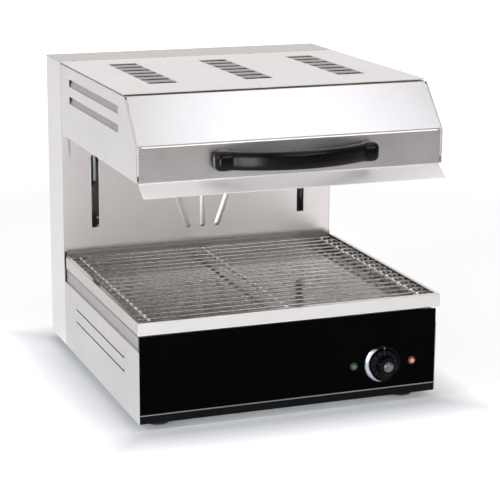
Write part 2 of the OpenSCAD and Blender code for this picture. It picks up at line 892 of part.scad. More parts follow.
// Bar with ball ends along a rib's line, sunk in the panel
module rib(x, lean, grow) {
    r = (rib_w * rib_w / 4 + rib_out * rib_out) / (2 * rib_out);
    translate([x, column_y + r - rib_out, back_low + rib_low]) rotate([0, lean, 0]) {
        cylinder(r = r + grow, h = rib_l);
        sphere(r = r + grow);
        translate([0, 0, rib_l]) sphere(r = r + grow);
    }
}

module ribs(grow) {
    for (i = [-1:1]) rib(rib_x + i * rib_gap, i * rib_lean, grow);
}

module back_panel() {
    panel_back = column_y + sheet_t;
    flange_x = slot_x - slot_w;
    color(steel) difference() {
        union() {
            span([-inner_x, column_y, back_low], [inner_x, panel_back, roof_z]);
            span([-flange_x, column_y, back_low], [flange_x, column_y + column_flange, back_low + sheet_t]);
            intersection() {
                ribs(0);
                span([-inner_x, column_y - rib_out - cut, back_low], [inner_x, panel_back, roof_z]);
            }
        }
        ribs(-sheet_t);
        pair() span(
            [slot_x - slot_w / 2, column_y - cut, slot_bottom],
            [slot_x + slot_w / 2, panel_back + cut, slot_top]
        );
    }
}

// Places of the rear cover's screws
module cover_screw_places() {
    edge_x = inner_x - screw_inset;
    edge_z = roof_z - screw_inset;
    for (x = [-edge_x, edge_x])
        for (z = [bracket_top, (bracket_top + edge_z) / 2, edge_z]) translate([x, cover_y, z]) children();
    for (x = [-edge_x / 3, edge_x / 3]) translate([x, cover_y, edge_z]) children();
}

// Tapped holes of the cover's screws in the folded flanges
module cover_screw_holes() {
    cover_screw_places() bar_y([0, -sheet_t - cut, 0], screw_core, sheet_t + cut);
}

module rear_cover() {
    group_h = (rear_vent_n - 1) * rear_vent_pitch + rear_vent_h;
    color(steel) difference() {
        span([-inner_x, cover_y, underside], [inner_x, back_y, roof_z]);
        cover_screw_places() bar_y([0, -cut, 0], screw_d + hole_fit, sheet_t + 2 * cut);
        bar_y([gland_x, cover_y - cut, underside + gland_z], gland_d + hole_fit, sheet_t + 2 * cut);
        for (z = [underside + rear_vent_low, top_z - rear_vent_top - group_h])
            for (i = [0:rear_vent_n - 1])
                translate([0, 0, z + i * rear_vent_pitch])
                    pair() span(
                        [rear_vent_x, cover_y - cut, 0],
                        [rear_vent_x + rear_vent_l, back_y + cut, rear_vent_h]
                    );
    }
}

module rear_cover_screws() {
    color(zinc) cover_screw_places() {
        bar_y([0, sheet_t, 0], screw_d * head_ratio, screw_head_h);
        bar_y([0, -screw_l, 0], screw_core, screw_l + sheet_t + screw_head_h / 2);
    }
}

// --- Lift --------------------------------------------------------------

module rod_bracket_lower() {
    x = guide_x + bracket_end;
    color(zinc) difference() {
        union() {
            span([-x, rod_y - bracket_y, bracket_top - plate_t], [x, rod_y + bracket_y, bracket_top]);
            for (y = [rod_y - bracket_y, rod_y + bracket_y - plate_t])
                span([-x, y, floor_z], [x, y + plate_t, bracket_top]);
        }
        pair() bar_z([guide_x, rod_y, floor_z], guide_d, 2 * bracket_h);
        pair() bar_z([gas_x, rod_y, floor_z], gas_rod_d, 2 * bracket_h);
    }
}

module rod_bracket_upper() {
    y0 = rod_y - bracket_y;
    y1 = rod_y + bracket_y;
    color(zinc) difference() {
        union() {
            span([-inner_x, y0, upper_bracket - plate_t], [inner_x, y1, upper_bracket]);
            pair() span(
                [inner_x - plate_t, y0, upper_bracket - bracket_flange_h],
                [inner_x, y1, upper_bracket]
            );
        }
        pair() bar_z([guide_x, rod_y, upper_bracket - plate_t - cut], guide_d, plate_t + 2 * cut);
    }
}

module guide_rod() {
    color(bright_steel) bar_z([-guide_x, rod_y, floor_z], guide_d, upper_bracket - floor_z);
}

module stop_buffers() {
    buffer_low = lift_low - travel - buffer_gap - buffer_h;
    color(black) pair() difference() {
        bar_z([guide_x, rod_y, buffer_low], guide_d + 2 * buffer_wall, buffer_h);
        bar_z([guide_x, rod_y, buffer_low - cut], guide_d, buffer_h + 2 * cut);
    }
}

module gas_cylinder() {
    color(black) translate([-gas_x, rod_y, 0]) difference() {
        union() {
            bar_z([0, 0, gas_low], gas_d, gas_l);
            bar_z([0, 0, gas_low - plate_t - gas_thread_l], gas_rod_d, plate_t + gas_thread_l + cut);
        }
        bar_z([0, 0, gas_low + gas_cap], gas_bore, gas_l - 2 * gas_cap);
        bar_z([0, 0, gas_low + gas_cap], gas_rod_d + 2 * gas_fit, gas_l);
    }
}

module gas_rod() {
    rod_top = gas_lug + plate_t + gas_thread_l;
    color(bright_steel) translate([-gas_x, rod_y, 0]) {
        bar_z([0, 0, piston_low], gas_bore - 2 * gas_fit, piston_h);
        bar_z([0, 0, piston_low], gas_rod_d, rod_top - piston_low);
        bar_z([0, 0, gas_lug - gas_nut_h], gas_nut_d, gas_nut_h);
        bar_z([0, 0, gas_lug + plate_t], gas_nut_d, gas_nut_h);
    }
}

module carriage() {
    lift_h = lift_high - lift_low;
    color(zinc) difference() {
        union() {
            span([-arm_inner, plate_y, lift_low], [arm_inner, plate_back, lift_high]);
            pair() {
                bar_z([guide_x, rod_y, lift_low], 2 * housing_r, lift_h);
                span([arm_inner - plate_t, plate_y, lift_low], [arm_inner, arm_back, lift_high]);
                span(
                    [gas_x - gas_lug_x, plate_y, gas_lug],
                    [gas_x + gas_lug_x, rod_y + gas_lug_x, gas_lug + plate_t]
                );
            }
        }
        pair() {
            bar_z([guide_x, rod_y, lift_low - cut], guide_d + 2 * bushing_wall, lift_h + 2 * cut);
            bar_z([gas_x, rod_y, gas_lug - cut], gas_rod_d, plate_t + 2 * cut);
            for (z = bolt_heights)
                bar_x([arm_inner - plate_t - cut, side_bolt_y, z], bolt_hole_d, plate_t + 2 * cut);
        }
    }
}

module guide_bushings() {
    color("goldenrod") pair() for (z = [lift_low, lift_high - bushing_l]) difference() {
        bar_z([guide_x, rod_y, z], guide_d + 2 * bushing_wall, bushing_l);
        bar_z([guide_x, rod_y, z - cut], guide_d + 2 * guide_fit, bushing_l + 2 * cut);
    }
}

module hood_arm() {
    tail_z = arm_bottom - arm_tail;
    web = [
        [wall_y, arm_bottom],
        [arm_front, arm_bottom],
        [arm_front, tail_z + arm_chamfer],
        [arm_front + arm_chamfer, tail_z],
        [arm_back, tail_z],
        [arm_back, arm_top],
        [wall_y, arm_top]
    ];
    flange_end = -arm_inner + arm_flange_w;
    color(zinc) difference() {
        union() {
            along_x(-arm_outer, -arm_inner) polygon(web);
            span([-arm_outer, wall_y, arm_bottom], [flange_end, wall_y + arm_flange_t, arm_top]);
        }
        for (z = bolt_heights) {
            bar_y([-flange_bolt_x, wall_y - cut, z], bolt_hole_d, arm_flange_t + 2 * cut);
            bar_x([-arm_outer - cut, side_bolt_y, z], bolt_hole_d, arm_t + 2 * cut);
        }
    }
}

// Bolts through the hood's rear wall into the arms, and through the arms into the carriage
module arm_bolts() {
    flange_l = sheet_t + arm_flange_t;
    web_l = arm_t + plate_t;
    color(zinc) pair() for (z = bolt_heights) {
        bar_y([flange_bolt_x, wall_front - bolt_head_h, z], bolt_head_d, bolt_head_h);
        bar_y([flange_bolt_x, wall_front - cut, z], bolt_d, flange_l + cut);
        bar_x([arm_inner - plate_t - bolt_head_h, side_bolt_y, z], bolt_head_d, bolt_head_h);
        bar_x([arm_inner - plate_t - cut, side_bolt_y, z], bolt_d, web_l + 2 * cut);
        bar_x([arm_outer, side_bolt_y, z], bolt_head_d, bolt_head_h);
    }
}

// --- Hood --------------------------------------------------------------

// Place of the sloping face at a height
function slope_y(z) = top_front - (top_z - z) * hood_top_back / slope_h;

// Lid over the front sheet and the sides, above an open joint
module hood_top() {
    color(bright_steel) difference() {
        span([-side_x, top_front, roof_z], [side_x, sheet_rear, top_z]);
        for (g = [-1:1])
            for (i = [0:top_slot_n - 1])
                translate([g * top_group_pitch, first_slot + i * top_slot_pitch, roof_z - cut])
                    span([-top_slot_w / 2, 0, 0], [top_slot_w / 2, top_slot_l, sheet_t + 2 * cut]);
        for (i = [-1:2])
            translate([(i - 1 / 2) * top_group_pitch + notch_x, sheet_rear, roof_z - cut])
                span([-notch_w / 2, -notch_l, 0], [notch_w / 2, cut, sheet_t + 2 * cut]);
    }
}

// Sloping face and upright face, with a flange under the joint with the top sheet
module hood_front() {
    face = [[slope_y(groove_z), groove_z], [front_y, slope_z], [front_y, hood_bottom]];
    flange_top = groove_z - seam;
    root_y = slope_y(flange_top) + seam;
    color(bright_steel) difference() {
        union() {
            folded_sheet(face, sheet_t, -skin_x, skin_x);
            span([-skin_x, root_y, flange_top - sheet_t], [skin_x, top_front + hood_flange, flange_top]);
        }
        pair() bar_y([screw_x, front_y - cut, handle_mid], bolt_hole_d, sheet_t + 2 * cut);
    }
}

module hood_lip() {
    fold_y = front_y + sheet_t;
    fold_z = hood_bottom - joint_gap;
    lip = [
        [fold_y, hood_bottom + lip_flange_h],
        [fold_y, fold_z],
        [front_y - lip_out, hood_bottom - lip_h]
    ];
    color(bright_steel) folded_sheet(lip, sheet_t, -skin_x, skin_x);
}

module hood_side() {
    flange_x = -inner_x + hood_flange;
    root_x = -inner_x - sheet_t / 2;
    stand_x = -inner_x + joint_depth;
    stand_y = top_front + hood_flange + seam;
    band_top = groove_z - seam - 2 * sheet_t;
    band = [
        [slope_y(band_top), band_top],
        [front_y, slope_z],
        [front_y, hood_bottom + lip_flange_h + seam]
    ];
    color(bright_steel) difference() {
        union() {
            along_x(-side_x, -inner_x) polygon(side_outline);
            // folded flanges: behind the front sheet, along the bottom and up the rear
            folded_sheet(inset_path(band, sheet_t), sheet_t, root_x, flange_x);
            span([root_x, lining_y, hood_bottom], [flange_x, wall_front - sheet_t, flange_z]);
            span([root_x, wall_front - sheet_t, hood_bottom], [-wall_x + hood_flange, wall_front, groove_z]);
            // stepped flange that carries the top sheet, set in behind the open joint
            span([root_x, stand_y, groove_z - sheet_t], [stand_x + sheet_t, wall_front, groove_z]);
            span([stand_x, stand_y, groove_z - sheet_t], [stand_x + sheet_t, wall_front, roof_z]);
            span([stand_x, stand_y, roof_z - sheet_t], [flange_x, wall_front, roof_z]);
        }
        for (i = [0, 1])
            translate([0, front_y + side_slot_y, top_z - side_slot_top - side_slot_h - i * side_slot_pitch])
                span([-side_x - cut, 0, 0], [-inner_x + cut, side_slot_l, side_slot_h]);
    }
}

module hood_rear_wall() {
    flange_x = wall_x - 2 * hood_flange;
    color(steel) difference() {
        union() {
            span([-wall_x, wall_front, wall_low], [wall_x, wall_y, roof_z]);
            span([-flange_x, wall_y - hood_flange, roof_z - sheet_t], [flange_x, wall_y, roof_z]);
        }
        pair() for (z = bolt_heights)
            bar_y([flange_bolt_x, wall_front - cut, z], bolt_hole_d, sheet_t + 2 * cut);
    }
}

module heat_reflector() {
    inside_x = reflector_x - sheet_t;
    hole_y = reflector_back - sheet_t - cut;
    color(bright_steel) difference() {
        union() {
            span([-reflector_x, reflector_front, flange_z], [reflector_x, reflector_back, reflector_roof]);
            span([-inner_x, lining_y, flange_z], [inner_x, wall_front - sheet_t, flange_z + sheet_t]);
        }
        span(
            [-inside_x, reflector_front + sheet_t, flange_z - cut],
            [inside_x, reflector_back - sheet_t, reflector_roof - sheet_t]
        );
        pair() for (k = [0, element_n - 1])
            bar_y([pass_at(k), hole_y, element_level], element_hole_d, sheet_t + 2 * cut);
    }
}

module insulation_blanket() {
    x = shield_x - sheet_t - blanket_gap;
    front = shield_front + sheet_t + blanket_gap;
    color("ivory") span([-x, front, reflector_roof], [x, reflector_back, reflector_roof + blanket_t]);
}

// Cover over the insulation, open at the rear, that keeps the hood's skin cool
module heat_shield() {
    x = shield_x - sheet_t;
    color(zinc) difference() {
        span([-shield_x, shield_front, reflector_roof], [shield_x, reflector_back, shield_top]);
        span(
            [-x, shield_front + sheet_t, reflector_roof - cut],
            [x, reflector_back + cut, shield_top - sheet_t]
        );
    }
}

// --- Heating elements --------------------------------------------------

function pass_at(k) = (k + 1 / 2) * element_pitch;

// Half turn of the tube between two passes, bulging to the front or to the rear
module element_bend(k, y, angle) {
    translate([pass_at(k) + element_pitch / 2, y, element_level]) rotate([0, 0, angle])
        rotate_extrude(angle = 180) translate([element_pitch / 2, 0]) circle(d = element_d);
}

module element() {
    last = element_n - 1;
    color(dark) union() {
        for (k = [0:last]) {
            outer = k == 0 || k == last;
            rear = outer ? reflector_back + sheath_out : element_rear;
            bar_y([pass_at(k), element_front, element_level], element_d, rear - element_front);
            if (outer) bar_y([pass_at(k), rear - cut, element_level], pin_d, pin_l + cut);
        }
        for (k = [0:2:last]) element_bend(k, element_front, 180);
        for (k = [1:2:last - 1]) element_bend(k, element_rear, 0);
    }
}

module element_support(share) {
    y = element_front + (element_rear - element_front) * share;
    x = pass_at(element_n - 1) + support_end;
    low = element_level - support_below;
    color(zinc) difference() {
        span([-x, y, low], [x, y + sheet_t, reflector_roof - sheet_t]);
        pair() for (k = [0:element_n - 1])
            bar_y([pass_at(k), y - cut, element_level], element_hole_d, sheet_t + 2 * cut);
    }
}

// --- Handle ------------------------------------------------------------

module handle() {
    bow_centre = front_y - handle_reach + bow_r;
    bow_h = handle_h - 2 * bow_inset;
    color(black) difference() {
        union() {
            translate([0, bow_centre, handle_z + bow_inset]) rotate([0, 0, -90 - bow_angle])
                rotate_extrude(angle = 2 * bow_angle, $fn = 96)
                    translate([bow_r - bow_t, 0]) rounded_bar(bow_t, bow_h, bow_round);
            pair() handle_lug();
        }
        pair() bar_y([screw_x, front_y - handle_screw_l, handle_mid], bolt_d, handle_screw_l + cut);
    }
}

// End of the handle: a block with round corners, seen from the front and from above
module handle_lug() {
    intersection() {
        translate([lug_x, front_y, handle_z]) rotate([90, 0, 0])
            linear_extrude(lug_out) rounded_bar(lug_w, handle_h, lug_round);
        translate([lug_x, front_y - lug_out, handle_z - cut])
            linear_extrude(handle_h + 2 * cut) rounded_bar(lug_w, 2 * lug_out, lug_round);
    }
}

module handle_screws() {
    l = handle_screw_l - cut;
    color(zinc) pair() {
        bar_y([screw_x, front_y + sheet_t, handle_mid], bolt_head_d, bolt_head_h);
        bar_y([screw_x, front_y - l, handle_mid], bolt_d - hole_fit, l + sheet_t + cut);
    }
}

// --- Controls ----------------------------------------------------------

module thermostat() {
    w = thermostat_w / 2;
    bush_front = front_y + 1 / 2;
    color(dark) difference() {
        union() {
            span([knob_x - w, deck_y, control_z - w], [knob_x + w, deck_y + thermostat_l, control_z + w]);
            bar_y([knob_x, bush_front, control_z], bush_d, deck_y - bush_front + cut);
        }
        bar_y(
            [knob_x, front_y - cut, control_z],
            shaft_d + 2 * shaft_fit, deck_y - front_y + cut + shaft_in + shaft_fit
        );
    }
}

module thermostat_shaft() {
    color(zinc) bar_y([knob_x, shaft_front, control_z], shaft_d, deck_y + shaft_in - shaft_front);
}

module knob() {
    h = knob_out - knob_gap - cap_t;
    skirt_r = knob_d / 2;
    grip_r = grip_d / 2;
    color(black) difference() {
        turned_knob(knob_back) polygon([
            [0, 0],
            [skirt_r, 0],
            [skirt_r, knob_skirt - knob_edge],
            [skirt_r - knob_edge, knob_skirt],
            [grip_r + knob_edge / 2, knob_skirt],
            [grip_r - knob_edge / 2, h - knob_edge],
            [grip_r - 1.5 * knob_edge, h],
            [0, h]
        ]);
        bar_y([knob_x, shaft_front, control_z], shaft_d, knob_out);
    }
}

module knob_cap() {
    r = cap_d / 2;
    color(bright_steel) turned_knob(knob_front + cap_t)
        polygon([[0, 0], [r, 0], [r, cap_t / 2], [r - cap_t / 2, cap_t], [0, cap_t]]);
}

module knob_bezel() {
    outer = bezel_d / 2;
    inner = outer - bezel_w;
    flat = bezel_w / 4;
    color(bright_steel) turned_knob(front_y)
        polygon([[inner, 0], [outer, 0], [outer, flat / 2], [inner + flat, bezel_out], [inner, bezel_out]]);
}

// Lens with a flange on the glass, a low dome and a stem through the panel
module lamp_lens(side) {
    dome_r = (lamp_d * lamp_d / 4 + lens_out * lens_out) / (2 * lens_out);
    color(side < 0 ? "seagreen" : "orangered")
        translate([knob_x + side * lamp_dx, front_y, control_z]) {
            bar_y([0, -lens_flange, 0], lamp_d + 2 * lens_flange, lens_flange);
            bar_y([0, -lens_flange / 2, 0], lamp_d, deck_y - front_y + lens_flange / 2);
            intersection() {
                translate([0, dome_r - lens_flange - lens_out, 0]) sphere(r = dome_r);
                bar_y([0, -lens_flange - lens_out - cut, 0], lamp_d, lens_out + cut + lens_flange / 2);
            }
        }
}

module lamp_holders() {
    color(dark) for (s = [-1, 1])
        bar_y([knob_x + s * lamp_dx, deck_y, control_z], lamp_d + 2 * lamp_wall, lamp_l);
}

// --- Supply ------------------------------------------------------------

module terminal_block() {
    x = block_l / 2;
    y = block_w / 2;
    pole_pitch = block_l / block_poles;
    top = bracket_top + block_h;
    color("ivory") difference() {
        span([-x, rod_y - y, bracket_top], [x, rod_y + y, top]);
        for (i = [0:block_poles - 1])
            bar_z([-x + (i + 1 / 2) * pole_pitch, rod_y, top - block_h / 3], pole_d, block_h);
    }
}

module cable_gland() {
    tail_l = gland_reach - gland_nut_h;
    color(black) translate([gland_x, back_y, underside + gland_z]) rotate([-90, 0, 0]) difference() {
        union() {
            translate([0, 0, -sheet_t - gland_in]) cylinder(d = gland_d, h = gland_in + sheet_t + cut);
            translate([0, 0, -sheet_t - gland_nut_h]) cylinder(d = gland_hex_d, h = gland_nut_h, $fn = 6);
            cylinder(d = gland_hex_d, h = gland_nut_h, $fn = 6);
            translate([0, 0, gland_nut_h]) cylinder(d1 = gland_d * 1.3, d2 = gland_d, h = tail_l);
        }
        translate([0, 0, -sheet_t - gland_in - cut])
            cylinder(d = cable_d, h = gland_in + sheet_t + gland_reach + 2 * cut);
    }
}

// --- Nodes -------------------------------------------------------------

base_floor();
base_side();  // base_side_left
mirror([1, 0, 0]) base_side();  // base_side_right
front_carrier();
front_glass();
front_trim();
kick_plate();
base_deck();
drip_tray();
wire_rack();
foot(-1, -1);  // foot_front_left
foot(1, -1);  // foot_front_right
foot(-1, 1);  // foot_rear_left
foot(1, 1);  // foot_rear_right
foot_nuts();
column_side();  // column_side_left
mirror([1, 0, 0]) column_side();  // column_side_right
column_top();
back_panel();
rear_cover();
rear_cover_screws();
rod_bracket_lower();
rod_bracket_upper();
guide_rod();  // guide_rod_left
mirror([1, 0, 0]) guide_rod();  // guide_rod_right
stop_buffers();
gas_cylinder();  // gas_cylinder_left
mirror([1, 0, 0]) gas_cylinder();  // gas_cylinder_right
gas_rod();  // gas_rod_left
mirror([1, 0, 0]) gas_rod();  // gas_rod_right
carriage();
guide_bushings();
hood_arm();  // hood_arm_left
mirror([1, 0, 0]) hood_arm();  // hood_arm_right
arm_bolts();
hood_top();
hood_front();
hood_lip();
hood_side();  // hood_side_left
mirror([1, 0, 0]) hood_side();  // hood_side_right
hood_rear_wall();
heat_reflector();
insulation_blanket();
heat_shield();
mirror([1, 0, 0]) element();  // element_left
element();  // element_right
element_support(1 / 6);  // element_support_front
element_support(5 / 6);  // element_support_rear
handle();
handle_screws();
thermostat();
thermostat_shaft();
knob();
knob_cap();
knob_bezel();
lamp_lens(-1);  // lamp_lens_green
lamp_lens(1);  // lamp_lens_orange
lamp_holders();
terminal_block();
cable_gland();
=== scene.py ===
# %% [markdown]
# # A cheese melter whose hood rises and falls
#
# The CAD model gives every plate, rod and wire at its real size, and Blender never moves it. This lesson
# dresses that frame. Sheet metal gets the rolled edges that a press brake leaves, the handle, the knob and
# the wire rack are modelled anew with edit-mode operators, and each finish gets a procedural material.
# All lengths are in metres, in the frame of the CAD model: +Z is up and the front faces -Y.

# %% Load the frame
import json
import math

import bpy
from mathutils import Matrix, Vector

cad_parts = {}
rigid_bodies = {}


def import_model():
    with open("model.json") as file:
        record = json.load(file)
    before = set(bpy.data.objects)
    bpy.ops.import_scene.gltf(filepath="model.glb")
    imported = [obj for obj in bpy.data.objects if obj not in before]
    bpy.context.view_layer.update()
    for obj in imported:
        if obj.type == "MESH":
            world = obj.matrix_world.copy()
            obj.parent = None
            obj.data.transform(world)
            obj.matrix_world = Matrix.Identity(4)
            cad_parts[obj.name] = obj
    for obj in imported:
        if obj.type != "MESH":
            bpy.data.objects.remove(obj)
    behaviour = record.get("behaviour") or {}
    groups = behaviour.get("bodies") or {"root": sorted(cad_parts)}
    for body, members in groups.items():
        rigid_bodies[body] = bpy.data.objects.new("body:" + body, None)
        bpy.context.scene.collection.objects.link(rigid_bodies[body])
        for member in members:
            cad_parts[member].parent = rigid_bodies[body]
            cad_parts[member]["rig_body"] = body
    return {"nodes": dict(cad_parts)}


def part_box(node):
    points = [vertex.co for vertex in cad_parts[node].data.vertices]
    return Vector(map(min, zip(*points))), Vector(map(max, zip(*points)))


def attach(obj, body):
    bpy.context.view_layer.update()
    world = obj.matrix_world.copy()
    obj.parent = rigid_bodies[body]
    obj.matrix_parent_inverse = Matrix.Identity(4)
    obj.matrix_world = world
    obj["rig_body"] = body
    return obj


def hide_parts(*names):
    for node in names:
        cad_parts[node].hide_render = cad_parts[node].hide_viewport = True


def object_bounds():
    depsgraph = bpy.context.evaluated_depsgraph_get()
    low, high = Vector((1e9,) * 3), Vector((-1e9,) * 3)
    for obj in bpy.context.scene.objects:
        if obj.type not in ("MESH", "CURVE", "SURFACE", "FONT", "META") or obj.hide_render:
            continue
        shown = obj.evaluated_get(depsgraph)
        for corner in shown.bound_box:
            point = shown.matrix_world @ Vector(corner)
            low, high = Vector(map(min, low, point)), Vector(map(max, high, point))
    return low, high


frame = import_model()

MM = 0.001
cad_low, cad_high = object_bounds()
print("CAD box", [round(v, 4) for v in cad_high - cad_low], "m,", len(frame["nodes"]), "nodes")

# %% [markdown]
# ## The camera
#
# A tall, straight-sided appliance is shown from far away with a long lens, so that its edges stay nearly
# parallel. The camera stands to the left of the front, a little above the hood, and looks down on it.

# %% Camera
LENS = 122.3
CAMERA_AT = Vector((-0.8570, -2.3463, 0.8110))
YAW, PITCH, ROLL = (math.radians(a) for a in (20.541, 14.036, 0.283))

ahead = Vector((math.sin(YAW) * math.cos(PITCH), math.cos(YAW) * math.cos(PITCH), -math.sin(PITCH)))
level = Vector((math.cos(YAW), -math.sin(YAW), 0))
upright = level.cross(ahead)
camera_x = level * math.cos(ROLL) + upright * math.sin(ROLL)
camera_y = upright * math.cos(ROLL) - level * math.sin(ROLL)
bpy.ops.object.camera_add()
camera = bpy.context.object
camera.name = "camera"
camera.data.lens = LENS
turn = Matrix((camera_x, camera_y, -ahead)).transposed().to_4x4()
camera.matrix_world = Matrix.Translation(CAMERA_AT) @ turn
bpy.context.scene.camera = camera
print("camera", [round(v, 3) for v in camera.location])

# %% [markdown]
# ## Select, then edit
#
# Every new piece is made with the same few steps: deselect all, add a primitive at its size and place,
# select some of its faces or edges by where they are, and run an edit-mode operator on them. An operator
# acts on all that is selected, so the selection is cleared before anything is picked.

# %% Selecting and editing


def clear():
    bpy.ops.object.select_all(action="DESELECT")


def alone(piece):
    """Deselects everything, then selects this piece and makes it active."""
    clear()
    piece.select_set(True)
    bpy.context.view_layer.objects.active = piece
    return piece


def edit(piece, kind, test):
    """Goes to edit mode with only the faces, edges or vertices selected that pass the test."""
    alone(piece)
    mesh = piece.data
    for group in (mesh.vertices, mesh.edges, mesh.polygons):
        group.foreach_set("select", [False] * len(group))
    group = {"FACE": mesh.polygons, "EDGE": mesh.edges, "VERT": mesh.vertices}[kind]
    count = 0
    for item in group:
        if test(item):
            item.select = True
            count += 1
    bpy.ops.object.mode_set(mode="EDIT")
    bpy.ops.mesh.select_mode(type=kind)
    return count


def done(piece):
    """Goes back to object mode, which writes the edit into the mesh."""
    bpy.ops.object.mode_set(mode="OBJECT")
    return piece


def corners(piece, item):
    return [piece.data.vertices[i].co for i in item.vertices]


def middle(piece, item):
    points = corners(piece, item)
    return sum(points, Vector()) / len(points)


# %% [markdown]
# A finished piece stands for the CAD node that it copies. It takes that node's finish and rides on its body,
# so that it moves with it.

# %% Standing for a node


def size(node):
    """The low corner, the high corner and the middle of a node's box."""
    low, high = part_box(node)
    return low, high, (low + high) / 2


def body_of(node):
    return frame["nodes"][node]["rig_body"]


def paint(piece, finish):
    piece.data.materials.clear()
    piece.data.materials.append(finish)
    return piece


def belong(piece, node, finish):
    """The piece rides on the node's body, and takes a finish unless it brings its own."""
    if not piece.data.materials:
        paint(piece, finish)
    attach(piece, body_of(node))
    print(piece.name, len(piece.data.polygons), "faces, open edges", open_edges(piece))


def place(piece, node):
    """The piece replaces its CAD node and keeps its finish."""
    belong(piece, node, finish_of[node])
    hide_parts(node)


def open_edges(piece):
    """How many edges lack their two faces. A closed mesh has none."""
    used = {}
    for face in piece.data.polygons:
        for key in face.edge_keys:
            used[key] = used.get(key, 0) + 1
    return sum(1 for count in used.values() if count != 2)


# %% [markdown]
# ## Materials
#
# Each material starts from the real stuff and from how its surface was made. One function adds a node with
# its settings and links, and every pattern's scale is worked out from a real size in millimetres.

# %% Node tools


def srgb(code):
    """Linear colour of an sRGB hex code."""
    parts = [int(code[i:i + 2], 16) / 255 for i in (1, 3, 5)]
    return [p / 12.92 if p <= 0.04045 else ((p + 0.055) / 1.055) ** 2.4 for p in parts] + [1]


def feed(node, inputs):
    """Gives each socket a value or a link. A whole node stands for its first output."""
    for key, value in inputs.items():
        if isinstance(value, bpy.types.Node):
            value = value.outputs[0]
        if isinstance(value, bpy.types.NodeSocket):
            node.id_data.links.new(value, node.inputs[key])
        else:
            node.inputs[key].default_value = value


def add(tree, kind, inputs, stops=(), **settings):
    """Adds a node with its own settings, its values and links, and the stops of a ramp."""
    made = tree.nodes.new("ShaderNode" + kind)
    for key, value in settings.items():
        setattr(made, key, value)
    for i, (position, colour) in enumerate(stops):
        made.color_ramp.elements[i].position = position
        made.color_ramp.elements[i].color = srgb(colour)
    feed(made, inputs)
    return made


def material(name, inputs):
    """A new material, its nodes and its shader, with what is the same all over the surface."""
    made = bpy.data.materials.new(name)
    made.use_nodes = True
    shader = made.node_tree.nodes["Principled BSDF"]
    feed(shader, inputs)
    return made, made.node_tree, shader


def per_mm(mm):
    """Noise scale on Object coordinates that gives a feature this many millimetres wide."""
    return 1 / (mm * MM)


def on_object(tree, stretch=(1, 1, 1), origin=(0, 0, 0)):
    """Object coordinates, counted from the origin given and stretched for a pattern that runs one way."""
    return add(tree, "Mapping", {
        "Vector": add(tree, "TexCoord", {}).outputs["Object"],
        "Location": [-c for c in origin], "Scale": stretch,
    })


def spread(start, end, low=0.0, high=1.0):
    """Socket values that spread low to high over start to end."""
    return {"From Min": start, "From Max": end, "To Min": low, "To Max": high}


# Nearly all values of a noise lie between these two, so tones and gloss are spread over them.
LOW, HIGH = 0.35, 0.65
SPECKLE = {"Detail": 3.0, "Roughness": 0.55}
print("a pattern 0.8 mm wide has noise scale", per_mm(0.8))

# %% [markdown]
# ### Stainless steel, part by part
#
# The skin of the appliance is 18/10 stainless sheet with a fine ground finish: short straight scratches that
# blur what it reflects, and a faint cloudiness from rolling. The real scratches are a tenth of a millimetre
# wide, too fine to show, so they are drawn about eight times as coarse and kept weak. Each plate is ground
# along its own length, and its tone is set by how bright it renders where it stands: lighter and darker
# copies of one steel, painted light and shade, for the front, the sides, the base, the column and its cap.
# The lip under the hood is ground coarser, spreads its light and is lightened: painted light against the
# handle's shade. The panel under the hood is lightened too, painted light in the hood's shade. The tray is
# rolled bright and mirrors the rack, its rim is duller and a lighter tone, painted light, and the deck round
# it is a darker grey. The inside of a joint and the wall of a slot take a lighter half-matt steel, painted
# light in the grooves, as do the cut edges there. The tray's rear wall, under the back of the hood, is
# painted darker: painted shade.

# %% Steel sheet
GRAIN_STRETCH, GLOSS_SPREAD = 0.02, 0.03
CLOUD_LOW, CLOUD_HIGH = 0.3, 0.7
ALONG_X, ALONG_Y, ALONG_Z = 0, 1, 2


def steel(name, dark, light, rough, grain_along, cloud=90.0, scratch=0.8, relief=0.004, metallic=1.0):
    """Stainless sheet: scratches along one axis, and clouds of two close tones. Sizes are in mm."""
    made, tree, shader = material(name, {"Metallic": metallic})
    stretch = [1.0, 1.0, 1.0]
    stretch[grain_along] = GRAIN_STRETCH
    grain = add(tree, "TexNoise", {
        "Vector": on_object(tree, stretch), "Scale": per_mm(scratch), "Detail": 2.0, "Roughness": 0.55,
    })
    clouds = add(tree, "TexNoise", {
        "Vector": on_object(tree), "Scale": per_mm(cloud), "Detail": 4.0, "Roughness": 0.55,
    })
    tone = add(tree, "ValToRGB", {"Fac": clouds}, stops=[(CLOUD_LOW, dark), (CLOUD_HIGH, light)])
    both = add(tree, "Math", {0: grain, 1: clouds}, operation="ADD")
    gloss = add(tree, "MapRange", {
        "Value": both, **spread(2 * LOW, 2 * HIGH, rough - GLOSS_SPREAD, rough + GLOSS_SPREAD),
    })
    dents = add(tree, "Bump", {"Height": grain, "Distance": relief * MM, "Strength": 1.0})
    feed(shader, {"Base Color": tone, "Roughness": gloss, "Normal": dents})
    return made


# Each plate's tone is set by how bright it renders where it stands: painted light and shade.
shell_steel = steel("ground_stainless_front", "#bdb8b6", "#c6c1bf", 0.3, ALONG_X, relief=0.0005)
# Lightened tone: painted light against the handle's shade on the lip.
lip_steel_lightened = steel("ground_stainless_lip_lightened", "#e9e5e4", "#eeeae9", 0.72, ALONG_X, metallic=0.85)
side_steel = steel("ground_stainless_side", "#dbd7d6", "#e3dfde", 0.36, ALONG_Z)
base_steel = steel("ground_stainless_base", "#c9c5c4", "#d1cdcc", 0.36, ALONG_Z)
column_steel = steel("ground_stainless_column", "#e6e2e1", "#ece8e7", 0.36, ALONG_Z)
rear_steel = steel("ground_stainless_rear", "#b3aeab", "#bcb7b4", 0.42, ALONG_X)
